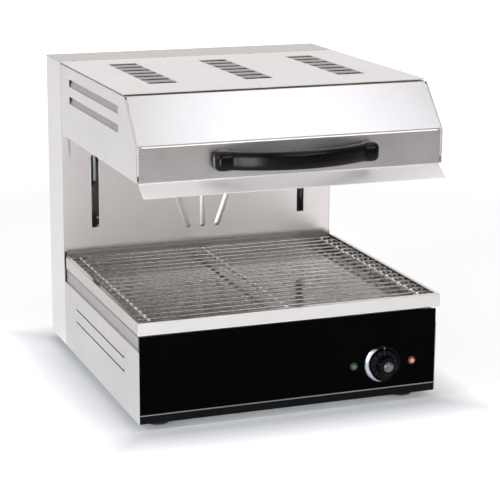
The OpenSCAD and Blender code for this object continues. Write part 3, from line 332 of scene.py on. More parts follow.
# Lightened tone: painted light on the panel in the hood's shade.
panel_steel_lightened = steel("dull_stainless_lightened", "#f0eae8", "#f5f0ee", 0.4, ALONG_X, cloud=140.0)
deck_steel = steel("shaded_stainless", "#a9a4a2", "#b2adab", 0.4, ALONG_X)
tray_steel = steel("bright_stainless", "#b6b1ae", "#bfbbb8", 0.13, ALONG_Y, scratch=1.2, relief=0.0005)
# Darker steel for the tray's rear wall under the hood: painted shade.
tray_rear_painted_shade = steel("tray_rear_stainless_painted_shade", "#a39d99", "#ada7a3", 0.35, ALONG_X, cloud=30.0)
# Lighter tone for the tray's forward faces: painted light.
rim_steel = steel("rolled_stainless_rim", "#dedbd9", "#e4e1df", 0.34, ALONG_X)
# A darker grey steel for the front trim.
strip_steel = steel("dark_grey_stainless", "#8a8584", "#979291", 0.4, ALONG_X)
# Lighter half-matt steel for joints and slot walls: painted light in the grooves.
joint_steel_painted_light = steel("joint_stainless_painted_light", "#ddd7d4", "#e5dfdc", 0.6, ALONG_X, cloud=40.0, metallic=0.5)
blade_steel = steel("matt_stainless", "#a29d9b", "#aca7a5", 0.5, ALONG_Y)
print("steels", [m.name for m in bpy.data.materials if "stainless" in m.name])

# %% [markdown]
# The strips between the lid's slots are painted grey: painted shade that spreads the darkness of the slots
# over each group. It follows the three rows of slots, one pitch apart: each point finds its nearest row and
# how far aside of it it lies.

# %% Lid with painted slot shade
ROW_PITCH, ROW_HALF, ROW_FRONT, ROW_BACK = 143 * MM, 21 * MM, -96 * MM, 116 * MM
SLOT_SHADE, SLOT_SHADE_EDGE = "#7a7572", 2 * MM
lid_steel = steel("ground_stainless_lid", "#cac5c4", "#d3cecd", 0.34, ALONG_X)
tree = lid_steel.node_tree
shader = tree.nodes["Principled BSDF"]
axes = add(tree, "SeparateXYZ", {0: on_object(tree)}).outputs
row = add(tree, "Math", {0: axes["X"], 1: ROW_PITCH}, operation="DIVIDE")
row = add(tree, "Math", {0: row}, operation="ROUND")
row = add(tree, "Math", {0: row, 1: ROW_PITCH}, operation="MULTIPLY")
aside = add(tree, "Math", {0: axes["X"], 1: row}, operation="SUBTRACT")
aside = add(tree, "Math", {0: aside}, operation="ABSOLUTE")
# Painted shade: grey over the strips of each row of slots.
painted_slot_shade = add(tree, "MapRange", {
    "Value": aside, **spread(ROW_HALF - SLOT_SHADE_EDGE, ROW_HALF + SLOT_SHADE_EDGE, 1.0, 0.0),
})
for edge, inward in ((ROW_FRONT, SLOT_SHADE_EDGE), (ROW_BACK, -SLOT_SHADE_EDGE)):
    limit = add(tree, "MapRange", {"Value": axes["Y"], **spread(edge - inward, edge + inward)})
    painted_slot_shade = add(tree, "Math", {0: painted_slot_shade, 1: limit}, operation="MULTIPLY")
clean = shader.inputs["Base Color"].links[0].from_socket
tint = add(tree, "Mix", {0: painted_slot_shade, 6: clean, 7: srgb(SLOT_SHADE)}, data_type="RGBA")
feed(shader, {"Base Color": tint.outputs[2]})
print("lid stain", round(2 * ROW_HALF / MM), "mm wide, three rows")

# %% [markdown]
# ### Bright wire, chrome and zinc
#
# The rack is drawn wire with a grey chromium plate, and its bearers and welds are painted nearly white: a
# painted highlight for their glints. The knob's cap has a satin plate. Brackets and bolts inside are zinc
# plated, which is duller and shows a faint crystal spangle. The shield over the elements is zinc plate too,
# painted dark grey and matt: painted shade for what shows through the lid's slots.

# %% Plated metal


def shade(tree, shader, pattern, dark, light, glossy, dull, start=LOW, end=HIGH):
    """Tone and gloss that follow one pattern, from dark and glossy at its start to light and dull."""
    feed(shader, {
        "Base Color": add(tree, "ValToRGB", {"Fac": pattern}, stops=[(start, dark), (end, light)]),
        "Roughness": add(tree, "MapRange", {"Value": pattern, **spread(start, end, glossy, dull)}),
    })


def plated(name, dark, light, bright_rough, dull_rough, haze_mm):
    """Bright plate with a haze that dulls it here and there."""
    made, tree, shader = material(name, {"Metallic": 1.0})
    haze = add(tree, "TexNoise", {"Vector": on_object(tree), "Scale": per_mm(haze_mm), **SPECKLE})
    shade(tree, shader, haze, dark, light, bright_rough, dull_rough)
    return made


cap_chrome = plated("satin_chrome_plate", "#646a71", "#6f757c", 0.16, 0.24, 6.0)
black_chrome = plated("black_chrome_plate", "#101113", "#17181b", 0.16, 0.24, 6.0)
wire_chrome = plated("plated_wire", "#a6a29f", "#bdbab8", 0.2, 0.34, 9.0)
# Nearly white: a painted highlight for the rack's bearers and welds.
weld_chrome_painted_highlight = plated("plated_weld_painted_highlight", "#f2f0ee", "#f8f6f4", 0.25, 0.4, 9.0)
SPANGLE_MM, SPANGLE_EDGE = 7.0, 0.6


def zinc_plate(name, dark, light, smooth_rough, dull_rough):
    """Zinc plate, whose crystals differ in tone and gloss from their middle to their edge."""
    made, tree, shader = material(name, {"Metallic": 1.0})
    crystal = add(tree, "TexVoronoi", {
        "Vector": on_object(tree), "Scale": per_mm(SPANGLE_MM), "Randomness": 1.0,
    })
    shade(tree, shader, crystal, dark, light, smooth_rough, dull_rough, 0.0, SPANGLE_EDGE)
    return made


zinc = zinc_plate("zinc_plate", "#a3a8ab", "#bcc1c4", 0.3, 0.44)
# Darkened zinc for the heat shield: painted shade seen through the lid's slots.
zinc_painted_shade = zinc_plate("zinc_plate_painted_shade", "#4a4744", "#57534f", 0.6, 0.7)
print("plated metals", cap_chrome.name, wire_chrome.name, weld_chrome_painted_highlight.name, zinc.name, zinc_painted_shade.name)

# %% [markdown]
# The ring round the knob is plated black. On its left a crescent of bright metal is painted on: a painted
# highlight where the ring catches the strip lamp, and that metal then reflects the lamp. The crescent is
# what lies outside a circle shifted to the right, up to a height.

# %% Ring with a painted highlight
HIGHLIGHT_SHIFT, HIGHLIGHT_R, HIGHLIGHT_TOP = 4.6 * MM, 27.2 * MM, 22 * MM
HIGHLIGHT_EDGE, HIGHLIGHT_FADE = 0.5 * MM, 2 * MM
HIGHLIGHT_METAL = "#c9cfdd"
ring_low, ring_high, ring_mid = size("knob_bezel")
tree = black_chrome.node_tree
shader = tree.nodes["Principled BSDF"]
around = on_object(tree, (1, 0, 1), (ring_mid.x + HIGHLIGHT_SHIFT, 0, ring_mid.z))
reach = add(tree, "VectorMath", {0: around}, operation="LENGTH").outputs["Value"]
painted_highlight = add(tree, "MapRange", {"Value": reach, **spread(HIGHLIGHT_R - HIGHLIGHT_EDGE, HIGHLIGHT_R + HIGHLIGHT_EDGE)})
height = add(tree, "SeparateXYZ", {0: around}).outputs["Z"]
below = add(tree, "MapRange", {
    "Value": height, **spread(HIGHLIGHT_TOP - HIGHLIGHT_FADE, HIGHLIGHT_TOP + HIGHLIGHT_FADE, 1.0, 0.0),
})
painted_highlight = add(tree, "Math", {0: painted_highlight, 1: below}, operation="MULTIPLY")
black = shader.inputs["Base Color"].links[0].from_socket
# Bright metal in the crescent: a painted highlight.
tint = add(tree, "Mix", {0: painted_highlight, 6: black, 7: srgb(HIGHLIGHT_METAL)}, data_type="RGBA")
feed(shader, {"Base Color": tint.outputs[2]})
print("ring worn below", round(HIGHLIGHT_TOP / MM), "mm over its middle")

# %% [markdown]
# ### Bearings and heaters
#
# The bushings on the guide rods are pressed from bronze powder, so they are warm brown and full of fine
# pores that hold oil. A tubular heater has a steel sheath that its own heat has oxidised, dark with lighter
# patches of scale.

# %% Bronze and sheath
bronze, tree, shader = material("sintered_bronze", {"Metallic": 1.0, "Roughness": 0.42})
pores = add(tree, "TexNoise", {"Vector": on_object(tree), "Scale": per_mm(0.6), **SPECKLE})
tone = add(tree, "ValToRGB", {"Fac": pores}, stops=[(LOW, "#8d6434"), (HIGH, "#b98a50")])
dents = add(tree, "Bump", {"Height": pores, "Distance": 0.02 * MM, "Strength": 1.0})
feed(shader, {"Base Color": tone, "Normal": dents})

sheath, tree, shader = material("oxidised_heater_sheath", {"Metallic": 1.0})
scale = add(tree, "TexNoise", {
    "Vector": on_object(tree), "Scale": per_mm(14.0), "Detail": 5.0, "Roughness": 0.55,
})
shade(tree, shader, scale, "#3b332d", "#6a5d52", 0.4, 0.62)
print("inner metals", bronze.name, sheath.name)

# %% [markdown]
# ### Black parts and plastics
#
# The front is toughened glass with a black enamel fired onto its back, so its face is as flat as glass is,
# and a coat on its face takes most of the glare away. The kick plate is powder coated, with the fine orange
# peel of that paint. The handle is moulded phenolic resin, which stays hard and glossy near heat. The feet
# are rubber and look chalky, nylon has a soft sheen, and the wool over the elements is a pale matt felt.

# %% Black and moulded finishes


def moulded(name, dark, light, rough, grit, relief, specular=0.5):
    """A moulded or sprayed surface: two close tones, a changing gloss and a fine relief of grit mm."""
    made, tree, shader = material(name, {"Specular IOR Level": specular})
    spot = on_object(tree)
    fine = add(tree, "TexNoise", {"Vector": spot, "Scale": per_mm(grit), **SPECKLE})
    broad = add(tree, "TexNoise", {"Vector": spot, "Scale": per_mm(grit * 30), **SPECKLE})
    shade(tree, shader, broad, dark, light, rough * 0.85, rough * 1.15)
    dents = add(tree, "Bump", {"Height": fine, "Distance": relief * MM, "Strength": 1.0})
    feed(shader, {"Normal": dents})
    return made


glass_black = moulded("enamelled_glass", "#010102", "#020203", 0.05, 8.0, 0.002, 0.02)
powder_black = moulded("powder_coat", "#070708", "#0b0b0c", 0.5, 0.9, 0.03, 0.08)
phenolic = moulded("phenolic_resin", "#020203", "#040405", 0.24, 1.5, 0.004, 0.18)
rubber = moulded("moulded_rubber", "#121212", "#1c1b1a", 0.75, 0.7, 0.04)
nylon = moulded("black_nylon", "#131315", "#1a1a1d", 0.5, 0.8, 0.02)
wool = moulded("ceramic_wool", "#cfc8b6", "#e4dfd0", 0.95, 2.0, 0.5)
melamine = moulded("melamine", "#cfc9b8", "#d9d4c5", 0.4, 1.0, 0.01)
dial_print = moulded("dial_print", "#8f978f", "#a3aba3", 0.5, 2.0, 0.004)
print("moulded finishes", glass_black.name, powder_black.name, phenolic.name)

# %% [markdown]
# ### Pilot lamps
#
# A pilot lamp is a neon behind a coloured lens. The orange one is lit when the appliance heats and the green
# one shows the mains. The lens glows most in its middle, where the neon is close, and its rim stays dark.

# %% Lamp lenses
LENS_GLOW, GLOW_CORE = 5.2 * MM, 0.2


def lens_material(name, node, body, rim, centre, strength):
    """A coloured lens that glows in the middle of its face."""
    low, _, mid = size(node)
    made, tree, shader = material(name, {
        "Base Color": srgb(body), "Roughness": 0.12, "Emission Strength": strength,
    })
    face = on_object(tree, origin=(mid.x, low.y, mid.z))
    reach = add(tree, "VectorMath", {0: face}, operation="LENGTH").outputs["Value"]
    fade = add(tree, "MapRange", {"Value": reach, **spread(GLOW_CORE * LENS_GLOW, LENS_GLOW, 1.0, 0.0)})
    glow = add(tree, "ValToRGB", {"Fac": fade}, stops=[(0.15, rim), (0.85, centre)])
    feed(shader, {"Emission Color": glow})
    return made


green_lens = lens_material("green_lens", "lamp_lens_green", "#06130c", "#0a2214", "#5f9a78", 0.45)
orange_lens = lens_material("orange_lens", "lamp_lens_orange", "#2c0a05", "#5c1408", "#ffb890", 0.75)
print("lenses glow", round(LENS_GLOW / MM, 1), "mm wide round their middle")

# %% [markdown]
# ### The knob's scale
#
# The skirt of the knob carries a printed scale: short grey strokes over three quarters of a turn, which
# hardly show, as on a dial that many hands have turned. They follow the angle round the knob's axis.

# %% Knob with a printed scale
knob_low, knob_high, knob_mid = size("knob")
SCALE_STEP = math.radians(270 / 10)
SCALE_HALF = math.radians(136)
STROKE_SHARE = 0.05
STROKE_FROM, STROKE_TO = 16.2 * MM, 19.2 * MM
RESIN, STROKE = "#040405", "#3f4549"

knob_resin, tree, shader = material("phenolic_resin_dial", {"Specular IOR Level": 0.09})
grain = add(tree, "TexNoise", {"Vector": on_object(tree), "Scale": per_mm(1.5), **SPECKLE})
axes = add(tree, "SeparateXYZ", {0: on_object(tree, origin=knob_mid)}).outputs
angle = add(tree, "Math", {0: axes["X"], 1: axes["Z"]}, operation="ARCTAN2")
flat = add(tree, "CombineXYZ", {"X": axes["X"], "Y": axes["Z"]})
radius = add(tree, "VectorMath", {0: flat}, operation="LENGTH").outputs["Value"]
steps = add(tree, "Math", {0: angle, 1: SCALE_STEP}, operation="DIVIDE")
whole = add(tree, "Math", {0: steps}, operation="ROUND")
off = add(tree, "Math", {0: steps, 1: whole}, operation="SUBTRACT")
off = add(tree, "Math", {0: off}, operation="ABSOLUTE")
from_top = add(tree, "Math", {0: angle}, operation="ABSOLUTE").outputs[0]
ink = add(tree, "Math", {0: off, 1: STROKE_SHARE}, operation="LESS_THAN")
for value, limit, test in ((radius, STROKE_FROM, "GREATER_THAN"), (radius, STROKE_TO, "LESS_THAN"),
                           (from_top, SCALE_HALF, "LESS_THAN")):
    mask = add(tree, "Math", {0: value, 1: limit}, operation=test)
    ink = add(tree, "Math", {0: ink, 1: mask}, operation="MULTIPLY")
inked = add(tree, "Mix", {0: ink, 6: srgb(RESIN), 7: srgb(STROKE)}, data_type="RGBA")
gloss = add(tree, "MapRange", {"Value": grain, **spread(LOW, HIGH, 0.24, 0.34)})
feed(shader, {"Base Color": inked.outputs[2], "Roughness": gloss})
print("knob centre", [round(v / MM, 1) for v in knob_mid], "mm")

# %% [markdown]
# ## Which node takes which finish
#
# The CAD nodes that keep their own mesh get their material here. A node that a new piece replaces later
# passes its finish on to that piece.

# %% Finishes by node
FINISH = {
    side_steel: ["hood_side_left"],
    # hood_side_right takes the darker base steel here: painted shade on that side.
    base_steel: ["base_side_left", "base_side_right", "hood_side_right", "column_side_right", "rear_cover"],
    shell_steel: ["hood_front"],
    lid_steel: ["hood_top"],
    lip_steel_lightened: ["hood_lip"],
    column_steel: ["column_side_left"],
    rear_steel: ["column_top"],
    panel_steel_lightened: ["back_panel", "hood_rear_wall"],
    deck_steel: ["base_deck"],
    rim_steel: ["drip_tray"],
    tray_steel: ["heat_reflector"],
    strip_steel: ["front_trim"],
    wire_chrome: ["wire_rack", "guide_rod_left", "guide_rod_right", "gas_rod_left", "gas_rod_right",
                  "thermostat_shaft"],
    zinc: ["base_floor", "front_carrier", "foot_nuts", "rear_cover_screws", "rod_bracket_lower",
           "rod_bracket_upper", "carriage", "hood_arm_left", "hood_arm_right", "arm_bolts",
           "element_support_front", "element_support_rear", "handle_screws", "thermostat"],
    zinc_painted_shade: ["heat_shield"],
    glass_black: ["front_glass"],
    powder_black: ["kick_plate", "gas_cylinder_left", "gas_cylinder_right"],
    phenolic: ["handle"],
    knob_resin: ["knob"],
    cap_chrome: ["knob_cap"],
    black_chrome: ["knob_bezel"],
    rubber: ["foot_front_left", "foot_front_right", "foot_rear_left", "foot_rear_right", "stop_buffers"],
    nylon: ["cable_gland", "lamp_holders"],
    wool: ["insulation_blanket"],
    sheath: ["element_left", "element_right"],
    bronze: ["guide_bushings"],
    green_lens: ["lamp_lens_green"],
    orange_lens: ["lamp_lens_orange"],
    melamine: ["terminal_block"],
}
finish_of = {name: finish for finish, names in FINISH.items() for name in names}
for name, node_object in frame["nodes"].items():
    paint(node_object, finish_of[name])
print("bare nodes", sorted(set(frame["nodes"]) - set(finish_of)))

# %% [markdown]
# ## Sheet metal with rolled edges
#
# On the real appliance every fold has a small radius, because sheet can't be bent sharp: about the sheet's
# own thickness inside and twice that outside. The cut edges are brushed so that they don't cut a hand.
# A straight CAD copy has neither. So each visible plate is a copy of its node with its doubled points
# merged, its flat triangles joined, and then two bevels: a wide one on the folds, and a fine one on the
# cut edges. A fold is told from a cut edge by its faces: both of them are wider than the sheet is thick.

# %% Finding the folds
SHEET = 1.2 * MM
WIDE_FACE = 2.5 * SHEET
SHARP = math.radians(25)


def narrowest(piece, face):
    """How narrow a face is: its area over its longest reach."""
    points = corners(piece, face)
    reach = max((a - points[0]).length for a in points)
    return face.area / max(reach, 1e-9)


def sharp_edges(piece):
    """The sharp edges as two sets: outside folds between two wide faces, and cut edges."""
    mesh = piece.data
    sides = {}
    for face in mesh.polygons:
        for key in face.edge_keys:
            sides.setdefault(key, []).append(face)
    folded, cut = set(), set()
    for edge in mesh.edges:
        pair = sides.get(tuple(sorted(edge.vertices)), [])
        if len(pair) != 2 or pair[0].normal.angle(pair[1].normal, 0) < SHARP:
            continue
        wide = all(narrowest(piece, face) > WIDE_FACE for face in pair)
        hollow = (pair[1].center - pair[0].center).dot(pair[0].normal) > 0
        if not wide:
            cut.add(edge.index)
        elif not hollow:
            folded.add(edge.index)
    return folded, cut


def merged_copy(node, name):
    """A new object with the node's mesh, its doubles merged and its flat triangles joined."""
    piece = bpy.data.objects.new(name, frame["nodes"][node].data.copy())
    bpy.context.scene.collection.objects.link(piece)
    edit(piece, "VERT", lambda v: True)
    bpy.ops.mesh.remove_doubles(threshold=1e-6)
    bpy.ops.mesh.dissolve_limited(angle_limit=math.radians(0.5))
    return done(piece)


print("a face wider than", round(WIDE_FACE / MM, 1), "mm counts as the flat of a sheet")

# %% [markdown]
# Smooth shading would bend the light on a big flat face next to a rolled edge. So the rim of each wide face
# is marked sharp: the face stays flat, and only the narrow strips of the bevel are shaded round.

# %% Rounding, and flat faces that stay flat
FOLD_OUTSIDE = 1.8 * MM
CUT_EDGE, GLASS_EDGE = 0.22 * MM, 0.4 * MM


def round_edges(piece, test, width, segments=3):
    edit(piece, "EDGE", test)
    bpy.ops.mesh.bevel(offset=width, segments=segments, profile=0.5, affect="EDGES", clamp_overlap=True)
    return done(piece)


def smooth(piece, degrees=40):
    """Smooth shading that breaks where two faces meet at more than this angle."""
    alone(piece)
    bpy.ops.object.shade_smooth_by_angle(angle=math.radians(degrees))
    return piece


def keep_flat(piece):
    rims = set()
    for face in piece.data.polygons:
        if narrowest(piece, face) > WIDE_FACE:
            rims.update(face.edge_keys)
    edit(piece, "EDGE", lambda edge: tuple(sorted(edge.vertices)) in rims)
    bpy.ops.mesh.mark_sharp()
    return done(piece)


print("folds", round(FOLD_OUTSIDE / MM, 2), "mm, cut edges", round(CUT_EDGE / MM, 2), "mm")

# %% [markdown]
# The inside of a joint and the wall of a slot look dark on the real hood: light hardly gets in. Each hood
# plate says which of its faces belong to the skin, and the others take a lighter half-matt steel: painted
# light that keeps these grooves from going darker than they look. The tray's rim is skin in this sense and
# takes a lighter tone, painted light; its pan is bright rolled steel, and its rear wall, under the back of
# the hood, is painted darker: painted shade.

# %% Plates
hood_x = size("hood_top")[1].x
tray_back = size("drip_tray")[1].y
REAR_SHADE_DEPTH = 14 * MM
SKIN = {
    "hood_top": lambda spot, normal: normal.z > 0.5,
    "hood_front": lambda spot, normal: normal.y < -0.3,
    "hood_lip": lambda spot, normal: normal.y < -0.1,
    "hood_side_left": lambda spot, normal: spot.x < -hood_x + SHEET / 2,
    "hood_side_right": lambda spot, normal: spot.x > hood_x - SHEET / 2,
    # The tray's forward faces take the lighter rim tone: painted light.
    "drip_tray": lambda spot, normal: normal.y < -0.5 and spot.y < 0,
}


def plate(node, outside, cut):
    """The rolled sheet that stands for a node, with its folds and its cut edges rounded."""
    piece = merged_copy(node, node + "_sheet")
    chosen = sharp_edges(piece)[0] if outside else ()
    if chosen:
        round_edges(piece, lambda edge: edge.index in chosen, outside)
    chosen = sharp_edges(piece)[1]
    if chosen:
        round_edges(piece, lambda edge: edge.index in chosen, cut, 1)
    keep_flat(smooth(piece, 32))
    place(piece, node)
    if node in SKIN:
        # Off the skin: painted light in the hood's grooves, or the tray's bright pan.
        piece.data.materials.append(tray_steel if node == "drip_tray" else joint_steel_painted_light)
        for face in piece.data.polygons:
            face.material_index = 0 if SKIN[node](face.center, face.normal) else 1
    # The tray's rear wall takes the darker steel: painted shade.
    if node == "drip_tray":
        piece.data.materials.append(tray_rear_painted_shade)
        for face in piece.data.polygons:
            if face.center.y > tray_back - REAR_SHADE_DEPTH:
                face.material_index = 2


for node in ("hood_front", "hood_lip", "hood_top", "hood_side_left", "hood_side_right", "drip_tray",
             "base_deck", "base_side_left", "base_side_right", "column_side_left", "column_side_right",
             "column_top", "hood_rear_wall", "kick_plate"):
    plate(node, FOLD_OUTSIDE, CUT_EDGE)
for node in ("back_panel", "rear_cover", "front_glass", "front_trim"):
    plate(node, 0, GLASS_EDGE)

# %% [markdown]
# ## Primitives in their place
#
# A piece has to sit at the origin, unturned and unscaled, with its place in its mesh, because the export
# reads it there. So each primitive has its place, turn and size applied as soon as it is added. Applied
# modifiers and a mesh with its doubles merged keep the piece closed.

# %% Tools for new pieces


def fix(piece, scale=(1, 1, 1)):
    """Puts the object's place, turn and size into its mesh."""
    alone(piece)
    piece.scale = scale
    bpy.ops.object.transform_apply(location=True, rotation=True, scale=True)
    return piece


def block(name, low, high):
    """A cube primitive between two corners, ready to be shaped."""
    clear()
    low, high = Vector(low), Vector(high)
    bpy.ops.mesh.primitive_cube_add(size=1, location=(low + high) / 2)
    piece = fix(bpy.context.object, high - low)
    piece.name = name
    return piece


def outward(piece):
    """Merges doubled points and turns all faces to the outside."""
    edit(piece, "VERT", lambda v: True)
    bpy.ops.mesh.remove_doubles(threshold=1e-6)
    bpy.ops.mesh.normals_make_consistent(inside=False)
    return done(piece)


def flatten(piece, y, test):
    """Brings the vertices that pass the test to one plane across Y."""
    edit(piece, "VERT", test)
    bpy.ops.transform.resize(value=(1, 0, 1), center_override=(0, y, 0))
    return done(piece)


def apply(piece, kind, **settings):
    """Adds a modifier with its settings and applies it."""
    alone(piece)
    modifier = piece.modifiers.new(kind.lower(), kind)
    for key, value in settings.items():
        setattr(modifier, key, value)
    bpy.ops.object.modifier_apply(modifier=modifier.name)
    return piece


def join(pieces, name):
    """Makes one piece of several, under a new name."""
    clear()
    for piece in pieces:
        piece.select_set(True)
    bpy.context.view_layer.objects.active = pieces[0]
    bpy.ops.object.join()
    made = bpy.context.object
    made.name = made.data.name = name
    return made


# %% [markdown]
# ## The handle
#
# The handle is one moulding: a bow that arches away from the hood, and a square lug at each end that a
# screw pulls against the steel. The bow could be a curve with a bevel, but a spin of its section gives the
# same arc and true flat ends. Bow and lugs are then fused by a voxel remesh, and smoothing the new mesh
# leaves the soft blend that a mould has. Its back is pressed flat again, where it lies on the steel.

# %% The bow
handle_low, handle_high, handle_mid = size("handle")
LUG_W, LUG_ROUND = 26 * MM, 8 * MM
BOW_RISE, BOW_T, BOW_INSET, BOW_ROUND, BOW_STEPS = 30 * MM, 13 * MM, 1 * MM, 4.5 * MM, 36
VOXEL, MELT = 1.3 * MM, 40
bow_half = handle_high.x - LUG_W / 2
bow_r = (bow_half ** 2 + BOW_RISE ** 2) / (2 * BOW_RISE)
bow_angle = math.asin(bow_half / bow_r)
bow_centre = Vector((0, handle_low.y + bow_r, handle_mid.z))

middle_r = bow_r - BOW_T / 2
start = bow_centre + Vector((-math.sin(bow_angle), -math.cos(bow_angle), 0)) * middle_r
clear()
bpy.ops.mesh.primitive_plane_add(size=1, location=start, rotation=(0, math.pi / 2, -bow_angle))
bow = fix(bpy.context.object, (handle_high.z - handle_low.z - 2 * BOW_INSET, BOW_T, 1))
edit(bow, "VERT", lambda v: True)
bpy.ops.mesh.bevel(offset=BOW_ROUND, segments=4, affect="VERTICES")
bpy.ops.mesh.select_all(action="SELECT")
bpy.ops.mesh.spin(steps=BOW_STEPS, angle=-2 * bow_angle, center=bow_centre, axis=(0, 0, 1))
done(bow)
outward(bow)
print("bow radius", round(bow_r / MM), "mm, open edges", open_edges(bow))

# %% Lugs, and the blend
lug_front = handle_low.y + BOW_RISE - BOW_T / 2
lug_half = (lug_front + handle_high.y) / 2
moulding = [bow]
for side in (-1, 1):
    ends = sorted((side * handle_high.x, side * (handle_high.x - LUG_W)))
    lug = block("handle_lug", (ends[0], lug_front, handle_low.z), (ends[1], handle_high.y, handle_high.z))
    round_edges(lug, lambda e: min(abs(middle(lug, e).y - y) for y in (lug_front, lug_half)) < MM,
                LUG_ROUND, 6)
    moulding.append(outward(lug))
handle = join(moulding, "handle_moulding")
apply(handle, "REMESH", mode="VOXEL", voxel_size=VOXEL)
apply(handle, "SMOOTH", factor=0.5, iterations=MELT)
flatten(handle, handle_high.y, lambda v: v.co.y > handle_high.y)
smooth(handle, 60)
place(handle, "handle")

# %% [markdown]
# ## The knob and its ring
#
# These are turned parts, so each is a profile spun about the knob's axis. The ring is a low cone whose outer
# wall carries a painted highlight on its left, a crescent of bright metal where it catches the strip lamp.
# Inside it lies a flat black dial, which stays still when the knob turns and carries one light mark at the
# top. In a profile each row is a radius and a height over the glass in millimetres, and the odd tenths are
# the rounding of its corners.

# %% Turning


def turned(name, profile, centre, axis=(0, -1, 0), steps=64):
    """Spins a profile about an axis, as on a lathe. Its points are (radius, height on the axis) in mm."""
    along = Vector(axis)
    across = Vector((1, 0, 0))
    places = [Vector(centre) + across * radius * MM + along * height * MM for radius, height in profile]
    clear()
    bpy.ops.mesh.primitive_plane_add(size=MM)
    piece = bpy.context.object
    piece.name = name
    edit(piece, "VERT", lambda v: True)
    bpy.ops.mesh.merge(type="CENTER")
    bpy.ops.transform.translate(value=places[0])
    for start, end in zip(places, places[1:]):
        bpy.ops.mesh.extrude_region_move(TRANSFORM_OT_translate={"value": end - start})
    bpy.ops.mesh.select_all(action="SELECT")
    bpy.ops.mesh.spin(steps=steps, angle=math.tau, center=centre, axis=along)
    done(piece)
    return outward(piece)


# %% Ring and dial
face_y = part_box("front_glass")[0].y
ring_r = (ring_high.x - ring_low.x) / 2 / MM
ring_out = (face_y - ring_low.y) / MM
DIAL_R, DIAL_HOLE, RING_STEPS = 25.2, 22.0, 96
control = Vector((ring_mid.x, face_y, ring_mid.z))

ring = turned("ring_plated", [
    (DIAL_R, 0), (ring_r, 0), (ring_r, 0.5), (ring_r - 0.5, 1.4), (DIAL_R + 1.2, ring_out - 0.5),
    (DIAL_R + 0.7, ring_out), (DIAL_R + 0.2, ring_out), (DIAL_R, ring_out - 0.3), (DIAL_R, 0),
], control, steps=RING_STEPS)
smooth(ring)
place(ring, "knob_bezel")

dial = turned("dial_plate", [
    (DIAL_HOLE, 0), (DIAL_R, 0), (DIAL_R, ring_out - 0.6), (DIAL_R - 0.4, ring_out - 0.2),
    (DIAL_HOLE + 0.5, ring_out - 0.5), (DIAL_HOLE, ring_out - 0.9), (DIAL_HOLE, 0),
], control, steps=RING_STEPS)
smooth(dial)
paint(dial, black_chrome)
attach(dial, body_of("knob_bezel"))
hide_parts("knob_bezel")

MARK_W, MARK_T, MARK_ROUND, MARK_SINK = 1.6 * MM, 0.25 * MM, 0.12 * MM, 0.45
MARK_FROM, MARK_TO = (DIAL_HOLE + 0.5) * MM, (DIAL_R - 0.6) * MM
mark_y = face_y - (ring_out - MARK_SINK) * MM
mark = block("dial_mark", (control.x - MARK_W / 2, mark_y - MARK_T, control.z + MARK_FROM),
             (control.x + MARK_W / 2, mark_y + MARK_T, control.z + MARK_TO))
round_edges(mark, lambda e: True, MARK_ROUND, 2)
belong(mark, "knob_bezel", dial_print)
print("ring radius", round(ring_r, 1), "mm, stands out", round(ring_out, 1), "mm")

# %% [markdown]
# The knob has a skirt that carries the scale, a grip with finger flutes, and a plated cap. The flutes are
# strips of the grip's wall that an inset sinks a little. The spin has five steps for each flute, so that
# every flute takes the same faces.

# %% Knob and cap
FLUTES, FLUTE_DEPTH, FLUTE_EDGE, FLUTE_SHARE = 12, 0.7 * MM, 0.3 * MM, 0.22
FLUTE_BELOW, FLUTE_ABOVE = 1.4, 1.0
GRIP_R, SKIRT_T, CAP_SEAT = 13.5, 5.0, 8.6
skirt_r = (knob_high.x - knob_low.x) / 2 / MM
back = (face_y - knob_high.y) / MM
front = (face_y - knob_low.y) / MM
knob = turned("knob_moulding", [
    (0, back), (skirt_r - 0.6, back), (skirt_r, back + 0.6), (skirt_r, back + SKIRT_T - 1.2),
    (skirt_r - 0.5, back + SKIRT_T - 0.4), (skirt_r - 1.4, back + SKIRT_T),
    (GRIP_R + 1.6, back + SKIRT_T - 0.3), (GRIP_R + 0.6, back + SKIRT_T + 0.4),
    (GRIP_R + 0.2, back + SKIRT_T + 1.4), (GRIP_R - 0.4, front - 2.6), (GRIP_R - 0.8, front - 1.1),
    (GRIP_R - 1.6, front - 0.3), (GRIP_R - 2.6, front), (CAP_SEAT, front),
    (CAP_SEAT - 0.4, front - 0.5), (0, front - 0.5),
], control, steps=5 * FLUTES)


def in_flute(face):
    """Is this face on the grip's wall and inside a flute?"""
    spot = middle(knob, face)
    out = (face_y - spot.y) / MM
    around = math.atan2(spot.x - control.x, spot.z - control.z) / math.tau * FLUTES
    radial = math.hypot(spot.x - control.x, spot.z - control.z) / MM
    return (back + SKIRT_T + FLUTE_ABOVE < out < front - FLUTE_BELOW and radial > GRIP_R - 2
            and abs(around - round(around)) < FLUTE_SHARE)


print("flute faces", edit(knob, "FACE", in_flute))
bpy.ops.mesh.inset(thickness=FLUTE_EDGE, depth=-FLUTE_DEPTH)
done(knob)
smooth(knob)
place(knob, "knob")

cap_low, cap_high, _ = size("knob_cap")
cap_r = (cap_high.x - cap_low.x) / 2 / MM
cap_back = (face_y - cap_high.y) / MM
cap_front = (face_y - cap_low.y) / MM
cap = turned("knob_cap_plated", [
    (0, cap_back), (cap_r, cap_back), (cap_r, cap_back + 0.4), (cap_r - 0.4, cap_back + 0.8),
    (cap_r - 2.0, cap_front - 0.35), (cap_r - 2.4, cap_front - 0.05), (cap_r - 2.9, cap_front),
    (0, cap_front - 0.3),
], control)
smooth(cap)
place(cap, "knob_cap")

# %% [markdown]
# ## Pilot lamps
#
# Each lens is turned too: a stem that goes through the glass, a thin flange on its face and a low dome.

